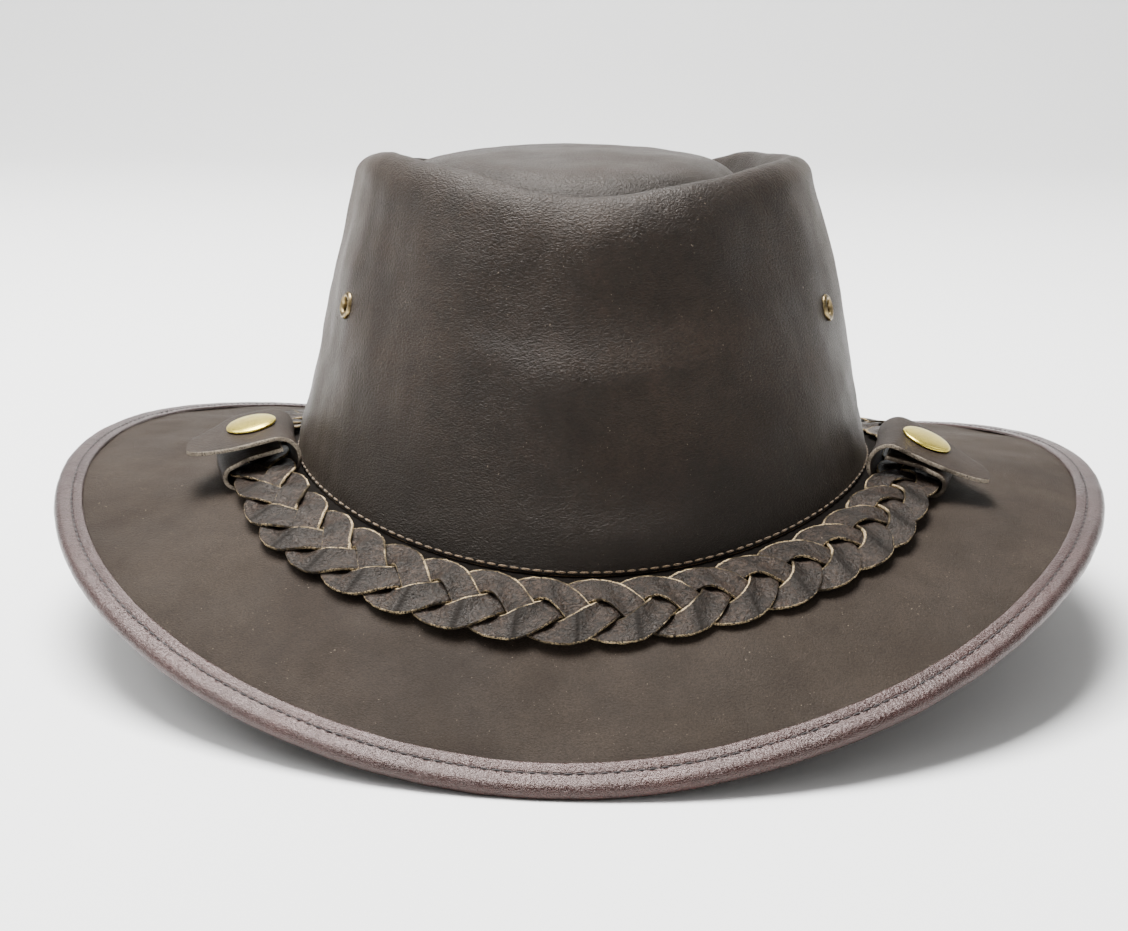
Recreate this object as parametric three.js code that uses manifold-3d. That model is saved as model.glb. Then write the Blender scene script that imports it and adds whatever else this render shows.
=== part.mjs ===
import * as THREE from 'three';
import { mergeVertices } from 'three/addons/utils/BufferGeometryUtils.js';
import Module from 'manifold-3d';

// A leather hat with a wide brim, a crown with a raised rim round a pillow top,
// a plaited band and two snapped keepers. Millimetres, +Z up, the front towards -Y.
// Azimuths run from 0 at the front through 90 at +X and 180 at the back.

const wasm = await Module();
wasm.setup();

// Leather and clearance
const CROWN_LEATHER = 2;
const BRIM_LEATHER = 2;
const BINDING_LEATHER = 1;
const KEEPER_LEATHER = 1.3;
const GAP = 0.3;

// Head opening and the seam round it
const HEAD_HALF_WIDTH = 83.8;
const HEAD_HALF_LENGTH = 100.5;
const SEAM_SADDLE = 7.9;
const SEAM_OFFSET = 0.8;
const COLLAR_HEIGHT = 9;

// Crown
const CROWN_HEIGHT = 98;
const TOP_HALF_WIDTH = 69;
const TOP_HALF_LENGTH = 82;
const RIM_RADIUS = 5;
const RIM_WIDTH = 12;
const GROOVE_DEPTH = 12;
const PILLOW_HEIGHT = 100;
const PILLOW_OFFSET = 5;

// Brim and the binding on its edge
const BRIM_WIDTH = 70;
const BRIM_CURVE = 0.2;
const BINDING_ABOVE = 6.4;
const BINDING_BELOW = 6;
const BINDING_GAP = 0.42;
const REST_FLAT_DEPTH = 0.35;

// Plaited band
const STRIP_WIDTH = 7.7;
const STRIP_THICKNESS = 1.4;
const PLAIT_SWING = 7.8;
const PLAIT_RISE = 1.1;
const PLAIT_ROLL = THREE.MathUtils.degToRad(26);
const PLAIT_TURNS = 16;
const PLAIT_SQUEEZE = 0.82;
const PLAIT_PRESS = 0.8;

// Keepers, their snaps and the eyelets
const KEEPER_AZIMUTH = THREE.MathUtils.degToRad(74);
const KEEPER_WIDTH = 31;
const KEEPER_SLACK = 0.42;
const BEND_SLACK = 1.2;
const STRAP_DIP = 1.4;
const KEEPER_SPREAD = THREE.MathUtils.degToRad(18);
const KEEPER_OVERLAP = 0.6;
const KEEPER_FLAT = 0.3;
const STRAP_RISE = 0.7;
const TONGUE_SKEW = 0.7;
const CAP_RADIUS = 7.5;
const CAP_HEIGHT = 1.8;
const STUD_RADIUS = 4;
const STUD_HEIGHT = 0.55;
const STUD_INSET = 1;
const EYELET_HEIGHT = 56;
const EYELET_RADIUS = 4;
const EYELET_BORE = 2.1;
const EYELET_FLANGE = 0.8;
const EYELET_BARREL = 0.5;
const EYELET_GAP = 0.55;
const EYELET_BACK = 0.85;
const HOLE_CUTTER = 12;

// Steps of the surfaces
const AZIMUTH_STEPS = 48;
const PLAIT_STEPS = 12;

// Shape round the hat, one row each 30 degrees. drop: how far the brim's edge lies below
// its seam, as a share of the brim's width. reach: how far out the edge lies, as a share of
// that width. band: clearance between the seam and the plait. top: height of the crown's
// rim, as a share of the crown's height. rim: how far in the groove lies, as a share of the
// rim's width. groove: depth of the groove inside the rim, as a share of its depth.
const AROUND = [
  { azimuth: 0, drop: 0.55, reach: 0.978, band: 3.9, top: 0.92, rim: 1, groove: 0.7 },
  { azimuth: 30, drop: 0.42, reach: 0.965, band: 4, top: 0.955, rim: 1.1, groove: 0.85 },
  { azimuth: 60, drop: 0.21, reach: 0.97, band: 4.2, top: 1, rim: 1.5, groove: 1 },
  { azimuth: 90, drop: 0.09, reach: 0.99, band: 4.3, top: 1, rim: 1.6, groove: 1 },
  { azimuth: 120, drop: 0.075, reach: 0.995, band: 4.2, top: 0.985, rim: 1.5, groove: 1 },
  { azimuth: 150, drop: 0.15, reach: 1, band: 4, top: 0.93, rim: 1.1, groove: 0.85 },
  { azimuth: 180, drop: 0.36, reach: 1, band: 3.9, top: 0.89, rim: 1, groove: 0.7 },
  { azimuth: 210, drop: 0.1, reach: 1, band: 3.4, top: 0.92, rim: 1, groove: 0.85 },
  { azimuth: 240, drop: 0.03, reach: 1.01, band: 2.8, top: 0.955, rim: 1, groove: 1 },
  { azimuth: 270, drop: 0.09, reach: 1.02, band: 2.7, top: 0.985, rim: 1, groove: 1 },
  { azimuth: 300, drop: 0.275, reach: 1.012, band: 2.8, top: 1.01, rim: 1, groove: 1 },
  { azimuth: 330, drop: 0.48, reach: 0.98, band: 3.4, top: 0.98, rim: 1, groove: 0.85 },
];

// Pillow of the crown's top. out: distance from its middle as a share of the way to the
// groove. rise: height as a share of the way from the groove to the pillow's height.
const PILLOW = [
  { out: 0.9, rise: 0.56 },
  { out: 0.76, rise: 0.8 },
  { out: 0.45, rise: 0.92 },
];

// Tongue of a keeper beyond its snap. reach: distance past the strap's outer bend as a
// share of the tongue's length. width: as a share of the keeper's width.
const TONGUE = [
  { reach: -0.7, width: 0.96 },
  { reach: -0.35, width: 0.82 },
  { reach: 0, width: 0.66 },
  { reach: 0.4, width: 0.5 },
  { reach: 0.8, width: 0.32 },
  { reach: 1, width: 0.1 },
];

// Value of one column of AROUND at an azimuth, through its rows without a corner.
function around(column, azimuth) {
  const rows = AROUND.length;
  const place = THREE.MathUtils.euclideanModulo(azimuth / (2 * Math.PI), 1) * rows;
  const row = Math.floor(place);
  const f = place - row;
  const value = (offset) => AROUND[(row + offset + rows) % rows][column];
  const [a, b, c, d] = [value(-1), value(0), value(1), value(2)];
  const square = 2 * a - 5 * b + 4 * c - d;
  const cube = 3 * b - a - 3 * c + d;
  return 0.5 * (2 * b + (c - a) * f + square * f ** 2 + cube * f ** 3);
}

// The crown's outer face at its seam.
const SEAM_INSET = BRIM_LEATHER + GAP + CROWN_LEATHER;
const SEAM_HALF_WIDTH = HEAD_HALF_WIDTH + SEAM_INSET;
const SEAM_HALF_LENGTH = HEAD_HALF_LENGTH + SEAM_INSET;

function seamPoint(azimuth) {
  return new THREE.Vector3(
    SEAM_HALF_WIDTH * Math.sin(azimuth) + SEAM_OFFSET,
    -SEAM_HALF_LENGTH * Math.cos(azimuth),
    -SEAM_SADDLE * Math.cos(2 * azimuth),
  );
}

// Level direction straight away from an oval with these half axes.
function outward(azimuth, halfWidth = SEAM_HALF_WIDTH, halfLength = SEAM_HALF_LENGTH) {
  return new THREE.Vector3(Math.sin(azimuth) / halfWidth, -Math.cos(azimuth) / halfLength, 0).normalize();
}

// How much of a length along the brim is level, going straight out from the seam.
function brimLevel(azimuth) {
  return Math.sqrt(1 - around('drop', azimuth) ** 2);
}

// A point over the brim: out is the distance from the seam along the leather and lift the
// height above its upper face.
function onBrim(azimuth, out, lift = 0) {
  const drop = around('drop', azimuth);
  const level = brimLevel(azimuth);
  const share = out / BRIM_WIDTH;
  const fall = BRIM_WIDTH * drop * ((1 - BRIM_CURVE) * share + BRIM_CURVE * share ** 2);
  const slope = drop * (1 - BRIM_CURVE + 2 * BRIM_CURVE * share);
  const away = outward(azimuth);
  const normal = away.clone().multiplyScalar(slope);
  normal.z = level;
  normal.normalize();
  const point = seamPoint(azimuth).addScaledVector(away, out * level);
  point.z -= fall;
  return point.addScaledVector(normal, lift);
}

// Distance of the brim's edge from the seam.
function brimReach(azimuth) {
  return BRIM_WIDTH * around('reach', azimuth);
}

// Geometry from a vertex list and triangles, turned so that its faces point out.
function geometryOf(points, triangles) {
  const volume = triangles.reduce((sum, [a, b, c]) => {
    const normal = points[b].clone().cross(points[c]);
    return sum + points[a].dot(normal);
  }, 0);
  const turned = volume < 0 ? triangles.map(([a, b, c]) => [a, c, b]) : triangles;
  const geometry = new THREE.BufferGeometry();
  geometry.setAttribute('position', new THREE.Float32BufferAttribute(points.flatMap((p) => p.toArray()), 3));
  geometry.setIndex(turned.flat());
  return geometry;
}

// Solid through closed outlines of equal count. A ring joins its last outline to the
// first, and a bar is closed by a fan at each end. A face is split along one diagonal or,
// where crossed says so, along the other.
function loft(outlines, isRing, crossed = () => false) {
  const count = outlines[0].length;
  const points = outlines.flat();
  const triangles = [];
  const spans = isRing ? outlines.length : outlines.length - 1;
  for (let i = 0; i < spans; i += 1) {
    const near = i * count;
    const far = ((i + 1) % outlines.length) * count;
    for (let j = 0; j < count; j += 1) {
      const next = (j + 1) % count;
      if (crossed(i, j)) {
        triangles.push([near + j, far + j, near + next], [near + next, far + j, far + next]);
      } else {
        triangles.push([near + j, far + j, far + next], [near + j, far + next, near + next]);
      }
    }
  }
  if (!isRing) {
    const last = (outlines.length - 1) * count;
    for (let j = 1; j < count - 1; j += 1) {
      triangles.push([0, j, j + 1], [last, last + j + 1, last + j]);
    }
  }
  return geometryOf(points, triangles);
}

function solidOf(geometry) {
  const bare = geometry.clone();
  bare.deleteAttribute('normal');
  bare.deleteAttribute('uv');
  const merged = mergeVertices(bare, 1e-5);
  return new wasm.Manifold(new wasm.Mesh({
    numProp: 3,
    vertProperties: new Float32Array(merged.attributes.position.array),
    triVerts: new Uint32Array(merged.index.array),
  }));
}

function cut(geometry, cutters) {
  const left = cutters.reduce((solid, cutter) => solid.subtract(solidOf(cutter)), solidOf(geometry));
  const mesh = left.getMesh();
  const result = new THREE.BufferGeometry();
  result.setAttribute('position', new THREE.BufferAttribute(mesh.vertProperties, 3));
  result.setIndex(new THREE.BufferAttribute(mesh.triVerts, 1));
  return result;
}

function azimuths() {
  return Array.from({ length: AZIMUTH_STEPS }, (_, i) => (2 * Math.PI * i) / AZIMUTH_STEPS);
}

// Outer face of the crown's wall, from its seam (0) to where the rim starts to turn (1).
function wallPoint(azimuth, share) {
  const base = onBrim(azimuth, 0, GAP);
  const top = new THREE.Vector3(
    TOP_HALF_WIDTH * Math.sin(azimuth),
    -TOP_HALF_LENGTH * Math.cos(azimuth),
    rimHeight(azimuth) - RIM_RADIUS,
  );
  return base.lerp(top, share);
}

// A point over the brim's upper face where it runs on under the wall, by a level depth.
function underWall(azimuth, depth, lift) {
  return onBrim(azimuth, -depth / brimLevel(azimuth), lift);
}

function rimHeight(azimuth) {
  return CROWN_HEIGHT * around('top', azimuth);
}

function grooveHeight(azimuth) {
  return rimHeight(azimuth) - GROOVE_DEPTH * around('groove', azimuth);
}

function wallNormal(azimuth, share) {
  const step = 0.01;
  const along = wallPoint(azimuth + step, share).sub(wallPoint(azimuth - step, share));
  const up = wallPoint(azimuth, share + step).sub(wallPoint(azimuth, share - step));
  return along.cross(up).normalize();
}

// Share of the wall at a height above its seam.
function wallShare(azimuth, height) {
  return height / (wallPoint(azimuth, 1).z - wallPoint(azimuth, 0).z);
}

// A point inset from the crown's top oval.
function topPoint(azimuth, inset, height) {
  const away = outward(azimuth, TOP_HALF_WIDTH, TOP_HALF_LENGTH);
  const point = wallPoint(azimuth, 1).addScaledVector(away, -inset);
  point.z = height;
  return point;
}

// Crown: rows from the seam up the wall, over the rim, down into the groove and up the pillow.
const WALL_SPANS = 4;
const RIM_SPANS = 3;
const FLANK_SPANS = 3;

function crownColumn(azimuth) {
  const column = [];
  for (let i = 0; i <= WALL_SPANS; i += 1) {
    column.push(wallPoint(azimuth, i / WALL_SPANS));
  }
  const rim = rimHeight(azimuth);
  for (let i = 1; i <= RIM_SPANS; i += 1) {
    const turn = (Math.PI / 2) * (i / RIM_SPANS);
    const inset = RIM_RADIUS * (1 - Math.cos(turn));
    column.push(topPoint(azimuth, inset, rim - RIM_RADIUS * (1 - Math.sin(turn))));
  }
  const groove = grooveHeight(azimuth);
  const width = RIM_WIDTH * around('rim', azimuth);
  for (let i = 1; i <= FLANK_SPANS; i += 1) {
    const share = i / FLANK_SPANS;
    const inset = THREE.MathUtils.lerp(RIM_RADIUS, width, share);
    column.push(topPoint(azimuth, inset, rim - (rim - groove) * (1 - Math.cos(Math.PI * share)) / 2));
  }
  const edge = column[column.length - 1];
  for (const { out, rise } of PILLOW) {
    const point = pillowMiddle().lerp(edge, out);
    point.z = THREE.MathUtils.lerp(groove, PILLOW_HEIGHT, rise);
    column.push(point);
  }
  return column;
}

function pillowMiddle() {
  return new THREE.Vector3(-PILLOW_OFFSET, 0, PILLOW_HEIGHT);
}

// Normal of a grid of columns at one of its points, from its neighbours.
function gridNormal(columns, i, j) {
  const count = columns.length;
  const rows = columns[0].length;
  const along = columns[(i + 1) % count][j].clone().sub(columns[(i - 1 + count) % count][j]);
  const up = columns[i][Math.min(j + 1, rows - 1)].clone().sub(columns[i][Math.max(j - 1, 0)]);
  return along.cross(up).normalize();
}

function crownGeometry() {
  const outer = azimuths().map(crownColumn);
  const inner = outer.map((column, i) => column.map((point, j) => (
    point.clone().addScaledVector(gridNormal(outer, i, j), -CROWN_LEATHER)
  )));
  azimuths().forEach((azimuth, i) => {
    inner[i][0] = underWall(azimuth, CROWN_LEATHER, GAP);
  });
  const columns = outer.map((column, i) => [...inner[i].slice().reverse(), ...column]);
  const rows = columns[0].length;
  const points = columns.flat();
  const triangles = [];
  const lowerPole = points.push(pillowMiddle().setZ(PILLOW_HEIGHT - CROWN_LEATHER)) - 1;
  const upperPole = points.push(pillowMiddle()) - 1;
  for (let i = 0; i < columns.length; i += 1) {
    const near = i * rows;
    const far = ((i + 1) % columns.length) * rows;
    triangles.push([lowerPole, far, near], [upperPole, near + rows - 1, far + rows - 1]);
    for (let j = 0; j < rows - 1; j += 1) {
      triangles.push([near + j, far + j, far + j + 1], [near + j, far + j + 1, near + j + 1]);
    }
  }
  return geometryOf(points, triangles);
}

// Brim: outline of one section, out along the underside, back along the upper face, and
// up and over the collar that is sewn inside the crown.
const BRIM_SHARES = [0.03, 0.2, 0.42, 0.62, 0.82, 1];

function brimOutline(azimuth) {
  const collar = (height, depth) => {
    const share = wallShare(azimuth, height);
    return wallPoint(azimuth, share).addScaledVector(wallNormal(azimuth, share), -depth);
  };
  const edge = brimReach(azimuth);
  const under = BRIM_SHARES.map((share) => onBrim(azimuth, share * edge, -BRIM_LEATHER));
  const upper = BRIM_SHARES.map((share) => onBrim(azimuth, share * edge)).reverse();
  const face = CROWN_LEATHER + GAP;
  const back = face + BRIM_LEATHER;
  return [
    ...under,
    ...upper,
    underWall(azimuth, face, 0),
    collar(COLLAR_HEIGHT, face),
    collar(COLLAR_HEIGHT, back),
    collar(0, back),
  ];
}

// Binding: a strip folded round the brim's edge, clear of it all round. Its roll has a
// corner at each of these degrees from the brim's own level.
const BINDING_ROLL = [60, 20, -20, -60];

function bindingOutline(azimuth) {
  const half = BRIM_LEATHER / 2;
  const inner = half + BINDING_GAP;
  const outer = inner + BINDING_LEATHER;
  const at = (out, lift) => onBrim(azimuth, brimReach(azimuth) + out, lift - half);
  const roll = BINDING_ROLL.map((degrees) => {
    const turn = THREE.MathUtils.degToRad(degrees);
    return at(outer * Math.cos(turn), outer * Math.sin(turn));
  });
  return [
    at(-BINDING_ABOVE, outer),
    at(-BINDING_ABOVE / 2, outer),
    ...roll,
    at(-BINDING_BELOW, -outer),
    at(-BINDING_BELOW, -inner),
    at(GAP, -inner),
    at(GAP, inner),
    at(-BINDING_ABOVE, inner),
  ];
}

// Plait: each strip swings from side to side and rises and dips twice a turn, a third of
// a turn after the one before.
function plaitOffset(phase) {
  return {
    side: PLAIT_SWING * Math.sin(phase),
    rise: -PLAIT_RISE * Math.sin(2 * phase),
    roll: -PLAIT_ROLL * Math.cos(3 * phase),
  };
}

// Corners of a strip's section across the plait, as side and rise from the plait's middle.
function stripCorners(phase, pitch) {
  const { side, rise, roll } = plaitOffset(phase);
  const lean = Math.atan(PLAIT_SWING * Math.cos(phase) * (2 * Math.PI / pitch));
  const half = STRIP_WIDTH / Math.cos(lean) / 2;
  const thick = STRIP_THICKNESS / 2;
  const corners = [[-half, -thick], [half, -thick], [half, thick], [-half, thick]];
  return corners.map(([across, up]) => ({
    side: side + across * Math.cos(roll) - up * Math.sin(roll),
    rise: rise + across * Math.sin(roll) + up * Math.cos(roll),
  }));
}

// Nearness to a keeper, from 0 well away from it to 1 inside it.
function atKeeper(azimuth) {
  const fromFront = Math.abs(Math.atan2(Math.sin(azimuth), Math.cos(azimuth)));
  const fromKeeper = Math.abs(fromFront - KEEPER_AZIMUTH);
  const half = KEEPER_WIDTH / 2 / SEAM_HALF_LENGTH;
  return 1 - THREE.MathUtils.smoothstep(fromKeeper, half, half + KEEPER_SPREAD);
}

// The keepers squeeze the plait: its width and its height there as shares of its free ones.
function plaitShare(azimuth) {
  return THREE.MathUtils.lerp(1, PLAIT_SQUEEZE, atKeeper(azimuth));
}

function plaitPress(azimuth) {
  return THREE.MathUtils.lerp(1, PLAIT_PRESS, atKeeper(azimuth));
}

// Middle line of the band: its distance from the seam and the azimuths of equal steps.
const BAND_HALF_WIDTH = PLAIT_SWING + STRIP_WIDTH / 2;

function bandOut(azimuth) {
  return around('band', azimuth) + BAND_HALF_WIDTH * plaitShare(azimuth);
}

function bandAzimuths(count) {
  const fine = 720;
  const lengths = [0];
  for (let i = 1; i <= fine; i += 1) {
    const from = (2 * Math.PI * (i - 1)) / fine;
    const to = (2 * Math.PI * i) / fine;
    const step = onBrim(from, bandOut(from)).distanceTo(onBrim(to, bandOut(to)));
    lengths.push(lengths[i - 1] + step);
  }
  const total = lengths[fine];
  const result = [];
  let k = 0;
  for (let i = 0; i < count; i += 1) {
    const wanted = (total * i) / count;
    while (lengths[k + 1] <= wanted) {
      k += 1;
    }
    const f = (wanted - lengths[k]) / (lengths[k + 1] - lengths[k]);
    result.push((2 * Math.PI * (k + f)) / fine);
  }
  return { list: result, total };
}

const BAND = bandAzimuths(PLAIT_TURNS * PLAIT_STEPS);
const PLAIT_PITCH = BAND.total / PLAIT_TURNS;

function plaitReach() {
  const rises = [];
  for (let degrees = 0; degrees < 360; degrees += 5) {
    const phase = THREE.MathUtils.degToRad(degrees);
    rises.push(...stripCorners(phase, PLAIT_PITCH).map((corner) => corner.rise));
  }
  return { low: Math.min(...rises), high: Math.max(...rises) };
}

const REACH = plaitReach();

// Height of the plait's middle over the brim: raised where a keeper passes under it.
function bandLift(azimuth) {
  return GAP - REACH.low * plaitPress(azimuth) + atKeeper(azimuth) * (KEEPER_LEATHER + KEEPER_SLACK);
}

// The faces over and under a strip are split the way that it leans, so that crossing
// strips stay clear of each other.
const STRIP_UPPER_FACE = 2;

function strandGeometry(strand) {
  const phaseAt = (i) => 2 * Math.PI * (i / PLAIT_STEPS + strand / 3);
  const outlines = BAND.list.map((azimuth, i) => (
    stripCorners(phaseAt(i), PLAIT_PITCH).map(({ side, rise }) => onBrim(
      azimuth,
      bandOut(azimuth) + side * plaitShare(azimuth),
      bandLift(azimuth) + rise * plaitPress(azimuth),
    ))
  ));
  const leansOut = (i) => Math.cos(phaseAt(i + 0.5)) > 0;
  return loft(outlines, true, (i, j) => leansOut(i) !== (j === STRIP_UPPER_FACE));
}

// The two sides: azimuths of the keeper and the eyelet, how far out from the plait's
// middle the cap sits, the space between the strap's start and its flap there, how much the
// flap rises from there to the strap's outer bend, how long the tongue is beyond that bend,
// and how much its tip rises from the flap's line.
const SIDES = [
  {
    name: 'left',
    keeper: -KEEPER_AZIMUTH,
    eyelet: THREE.MathUtils.degToRad(-61),
    cap: 0,
    space: 2.7,
    rise: -0.5,
    tongue: 8.5,
    tip: 1.2,
  },
  {
    name: 'right',
    keeper: KEEPER_AZIMUTH,
    eyelet: THREE.MathUtils.degToRad(67),
    cap: 2.5,
    space: 1.7,
    rise: -3,
    tongue: 11.5,
    tip: 1.5,
  },
];

// Keeper: a strap wound round the plait. out is the distance from the plait's middle and
// lift the height of the strap's middle layer over the brim.
const STRAP_REACH = BAND_HALF_WIDTH * PLAIT_SQUEEZE + BEND_SLACK + KEEPER_LEATHER / 2;
const STRAP_UNDER = GAP + KEEPER_LEATHER / 2;
const PLAIT_TOP = bandLift(KEEPER_AZIMUTH) + REACH.high * PLAIT_PRESS;
const STRAP_OVER = PLAIT_TOP + KEEPER_SLACK + KEEPER_LEATHER / 2;
const BEND_SPANS = 6;

function flapLift(side, out) {
  return STRAP_OVER + KEEPER_LEATHER + side.space + side.rise * (out / STRAP_REACH);
}

function strapBend(direction, from, to) {
  const radius = Math.abs(to - from) / 2;
  return Array.from({ length: BEND_SPANS + 1 }, (_, i) => {
    const turn = (Math.PI * i) / BEND_SPANS;
    const away = STRAP_REACH - radius + radius * Math.sin(turn);
    const lift = (from + to) / 2 + ((from - to) / 2) * Math.cos(turn);
    return { out: direction * away, lift, width: 1 };
  });
}

// Lift of the strap's start where it lies over the plait.
function strapLift(out) {
  const share = (KEEPER_FLAT - out / STRAP_REACH) / (KEEPER_FLAT + KEEPER_OVERLAP);
  return STRAP_OVER + STRAP_RISE * share;
}

// It starts over the plait, turns down round its outer side, runs back under it, rises
// beside the crown and runs out again as a flap with a free tongue over the brim.
function keeperPath(side) {
  const tongue = TONGUE.map(({ reach, width }) => {
    const out = STRAP_REACH + side.tongue * reach;
    return { out, lift: flapLift(side, out) + side.tip * Math.max(reach, 0) ** 2, width };
  });
  return [
    ...[-KEEPER_OVERLAP, KEEPER_FLAT].map((share) => {
      const out = STRAP_REACH * share;
      return { out, lift: strapLift(out), width: 1 };
    }),
    ...strapBend(1, STRAP_OVER - STRAP_DIP, STRAP_UNDER),
    { out: 0, lift: STRAP_UNDER, width: 1 },
    ...strapBend(-1, STRAP_UNDER, flapLift(side, -STRAP_REACH / 2)),
    { out: 0, lift: flapLift(side, 0), width: 1 },
    ...tongue,
  ];
}

function keeperOutline(path, index, azimuth) {
  const here = path[index];
  const before = path[Math.max(index - 1, 0)];
  const after = path[Math.min(index + 1, path.length - 1)];
  const along = new THREE.Vector2(after.out - before.out, after.lift - before.lift).normalize();
  const step = 0.01;
  const out = bandOut(azimuth) + here.out;
  const perRadian = onBrim(azimuth + step, out).distanceTo(onBrim(azimuth, out)) / step;
  const skew = Math.sign(azimuth) * TONGUE_SKEW * (1 - here.width);
  const place = (across, side) => {
    const turned = azimuth + ((across * here.width - skew) * KEEPER_WIDTH) / 2 / perRadian;
    return onBrim(
      turned,
      bandOut(turned) + here.out - along.y * side * (KEEPER_LEATHER / 2),
      here.lift + along.x * side * (KEEPER_LEATHER / 2),
    );
  };
  return [place(-1, 1), place(0, 1), place(1, 1), place(1, -1), place(0, -1), place(-1, -1)];
}

function keeperGeometry(side) {
  const path = keeperPath(side);
  return loft(path.map((_, index) => keeperOutline(path, index, side.keeper)), false);
}

function lathe(profile, sides) {
  const points = profile.map(([radius, height]) => new THREE.Vector2(radius, height));
  const geometry = new THREE.LatheGeometry(points, sides);
  return geometry.rotateX(Math.PI / 2);
}

// Turned pieces, each with its seat at height 0 and its axis along +Z. Their profiles give
// radius and height as shares of the piece's own.
const CAP_PROFILE = [
  { radius: 0, height: 0 },
  { radius: 0.96, height: 0 },
  { radius: 1, height: 0.3 },
  { radius: 0.94, height: 0.55 },
  { radius: 0.6, height: 0.88 },
  { radius: 0, height: 1 },
];

const STUD_PROFILE = [
  { radius: 0, height: 0 },
  { radius: 1, height: 0 },
  { radius: 1, height: 0.4 },
  { radius: 0.5, height: 0.5 },
  { radius: 0.5, height: 1 },
  { radius: 0, height: 1 },
];

function capGeometry() {
  return lathe(CAP_PROFILE.map(({ radius, height }) => [radius * CAP_RADIUS, height * CAP_HEIGHT]), 20);
}

function studGeometry() {
  return lathe(STUD_PROFILE.map(({ radius, height }) => [radius * STUD_RADIUS, height * STUD_HEIGHT]), 14);
}

function eyeletGeometry() {
  const outside = EYELET_GAP + EYELET_FLANGE;
  const inside = -(CROWN_LEATHER + EYELET_GAP + EYELET_FLANGE / 2);
  const barrel = EYELET_BORE + EYELET_BARREL;
  return lathe([
    [EYELET_BORE, inside],
    [EYELET_RADIUS * EYELET_BACK, inside],
    [EYELET_RADIUS * EYELET_BACK, inside + EYELET_FLANGE / 2],
    [barrel, inside + EYELET_FLANGE / 2],
    [barrel, EYELET_GAP],
    [EYELET_RADIUS, EYELET_GAP],
    [EYELET_RADIUS * 0.8, outside],
    [EYELET_BORE, outside * 0.8],
    [EYELET_BORE, inside],
  ], 16);
}

// A place and turn that carries a piece's +Z axis to a normal.
function seat(point, normal) {
  const turn = new THREE.Quaternion().setFromUnitVectors(new THREE.Vector3(0, 0, 1), normal);
  return { point, turn };
}

function eyeletSeat(azimuth) {
  const share = wallShare(azimuth, EYELET_HEIGHT - wallPoint(azimuth, 0).z);
  return seat(wallPoint(azimuth, share), wallNormal(azimuth, share));
}

// A seat on a layer of a keeper, by its distance out and the layer's lift there.
function snapSeat(azimuth, out, lift) {
  const at = (turned, away) => onBrim(turned, bandOut(turned) + away, lift(away));
  const along = at(azimuth + 0.01, out).sub(at(azimuth - 0.01, out));
  const across = at(azimuth, out + 1).sub(at(azimuth, out - 1));
  return seat(at(azimuth, out), across.cross(along).normalize());
}

function eyeletHole(azimuth) {
  const { point, turn } = eyeletSeat(azimuth);
  const radius = EYELET_BORE + EYELET_BARREL + GAP;
  const hole = new THREE.CylinderGeometry(radius, radius, HOLE_CUTTER, 16).rotateX(Math.PI / 2);
  return hole.applyQuaternion(turn).translate(point.x, point.y, point.z);
}

// Rest: the hat leans back until the lowest points of its brim's front and back both
// touch the surface, and the soft binding is flattened there.
function lowest(outlines, direction) {
  const points = outlines.flat().filter((point) => point.y * direction > 0);
  return points.reduce((low, point) => (point.z < low.z ? point : low));
}

const bindingOutlines = azimuths().map(bindingOutline);
const frontFoot = lowest(bindingOutlines, -1);
const backFoot = lowest(bindingOutlines, 1);
const REST_LEAN = Math.atan2(frontFoot.z - backFoot.z, backFoot.y - frontFoot.y);

const leaning = new THREE.Group();
leaning.rotation.x = REST_LEAN;
leaning.updateMatrix();

function restHeight() {
  const heights = bindingOutlines.flat().map((point) => point.clone().applyMatrix4(leaning.matrix).z);
  return Math.min(...heights) + REST_FLAT_DEPTH;
}

leaning.position.z = -restHeight();
leaning.updateMatrix();

function bindingGeometry() {
  const size = 4 * (SEAM_HALF_LENGTH + BRIM_WIDTH);
  const below = new THREE.BoxGeometry(size, size, size).translate(0, 0, -size / 2);
  below.applyMatrix4(leaning.matrix.clone().invert());
  return cut(loft(bindingOutlines, true), [below]);
}

// Materials
const leather = (color, roughness) => new THREE.MeshStandardMaterial({ color, roughness, metalness: 0 });
const brass = () => new THREE.MeshStandardMaterial({ color: 0xb79a5b, roughness: 0.35, metalness: 1 });

function add(name, geometry, material, place) {
  const mesh = new THREE.Mesh(geometry, material);
  mesh.name = name;
  if (place) {
    mesh.position.copy(place.point);
    mesh.quaternion.copy(place.turn);
  }
  leaning.add(mesh);
}

const eyeletHoles = SIDES.map(({ eyelet }) => eyeletHole(eyelet));
add('crown', cut(crownGeometry(), eyeletHoles), leather(0x3a2c26, 0.5));
add('brim', loft(azimuths().map(brimOutline), true), leather(0x453630, 0.55));
add('brim_binding', bindingGeometry(), leather(0x3f2324, 0.4));
for (const strand of [0, 1, 2]) {
  add(`band_strand_${strand + 1}`, strandGeometry(strand), leather(0x3b2f2a, 0.5));
}
for (const side of SIDES) {
  const { name, keeper, eyelet, cap } = side;
  const onFlap = (out) => flapLift(side, out) + KEEPER_LEATHER / 2 + GAP;
  const onStrap = (out) => strapLift(out) + KEEPER_LEATHER / 2 + GAP;
  add(`keeper_${name}`, keeperGeometry(side), leather(0x2f2420, 0.55));
  add(`snap_cap_${name}`, capGeometry(), brass(), snapSeat(keeper, cap, onFlap));
  add(`snap_stud_${name}`, studGeometry(), brass(), snapSeat(keeper, -STUD_INSET, onStrap));
  add(`eyelet_${name}`, eyeletGeometry(), brass(), eyeletSeat(eyelet));
}

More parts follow.
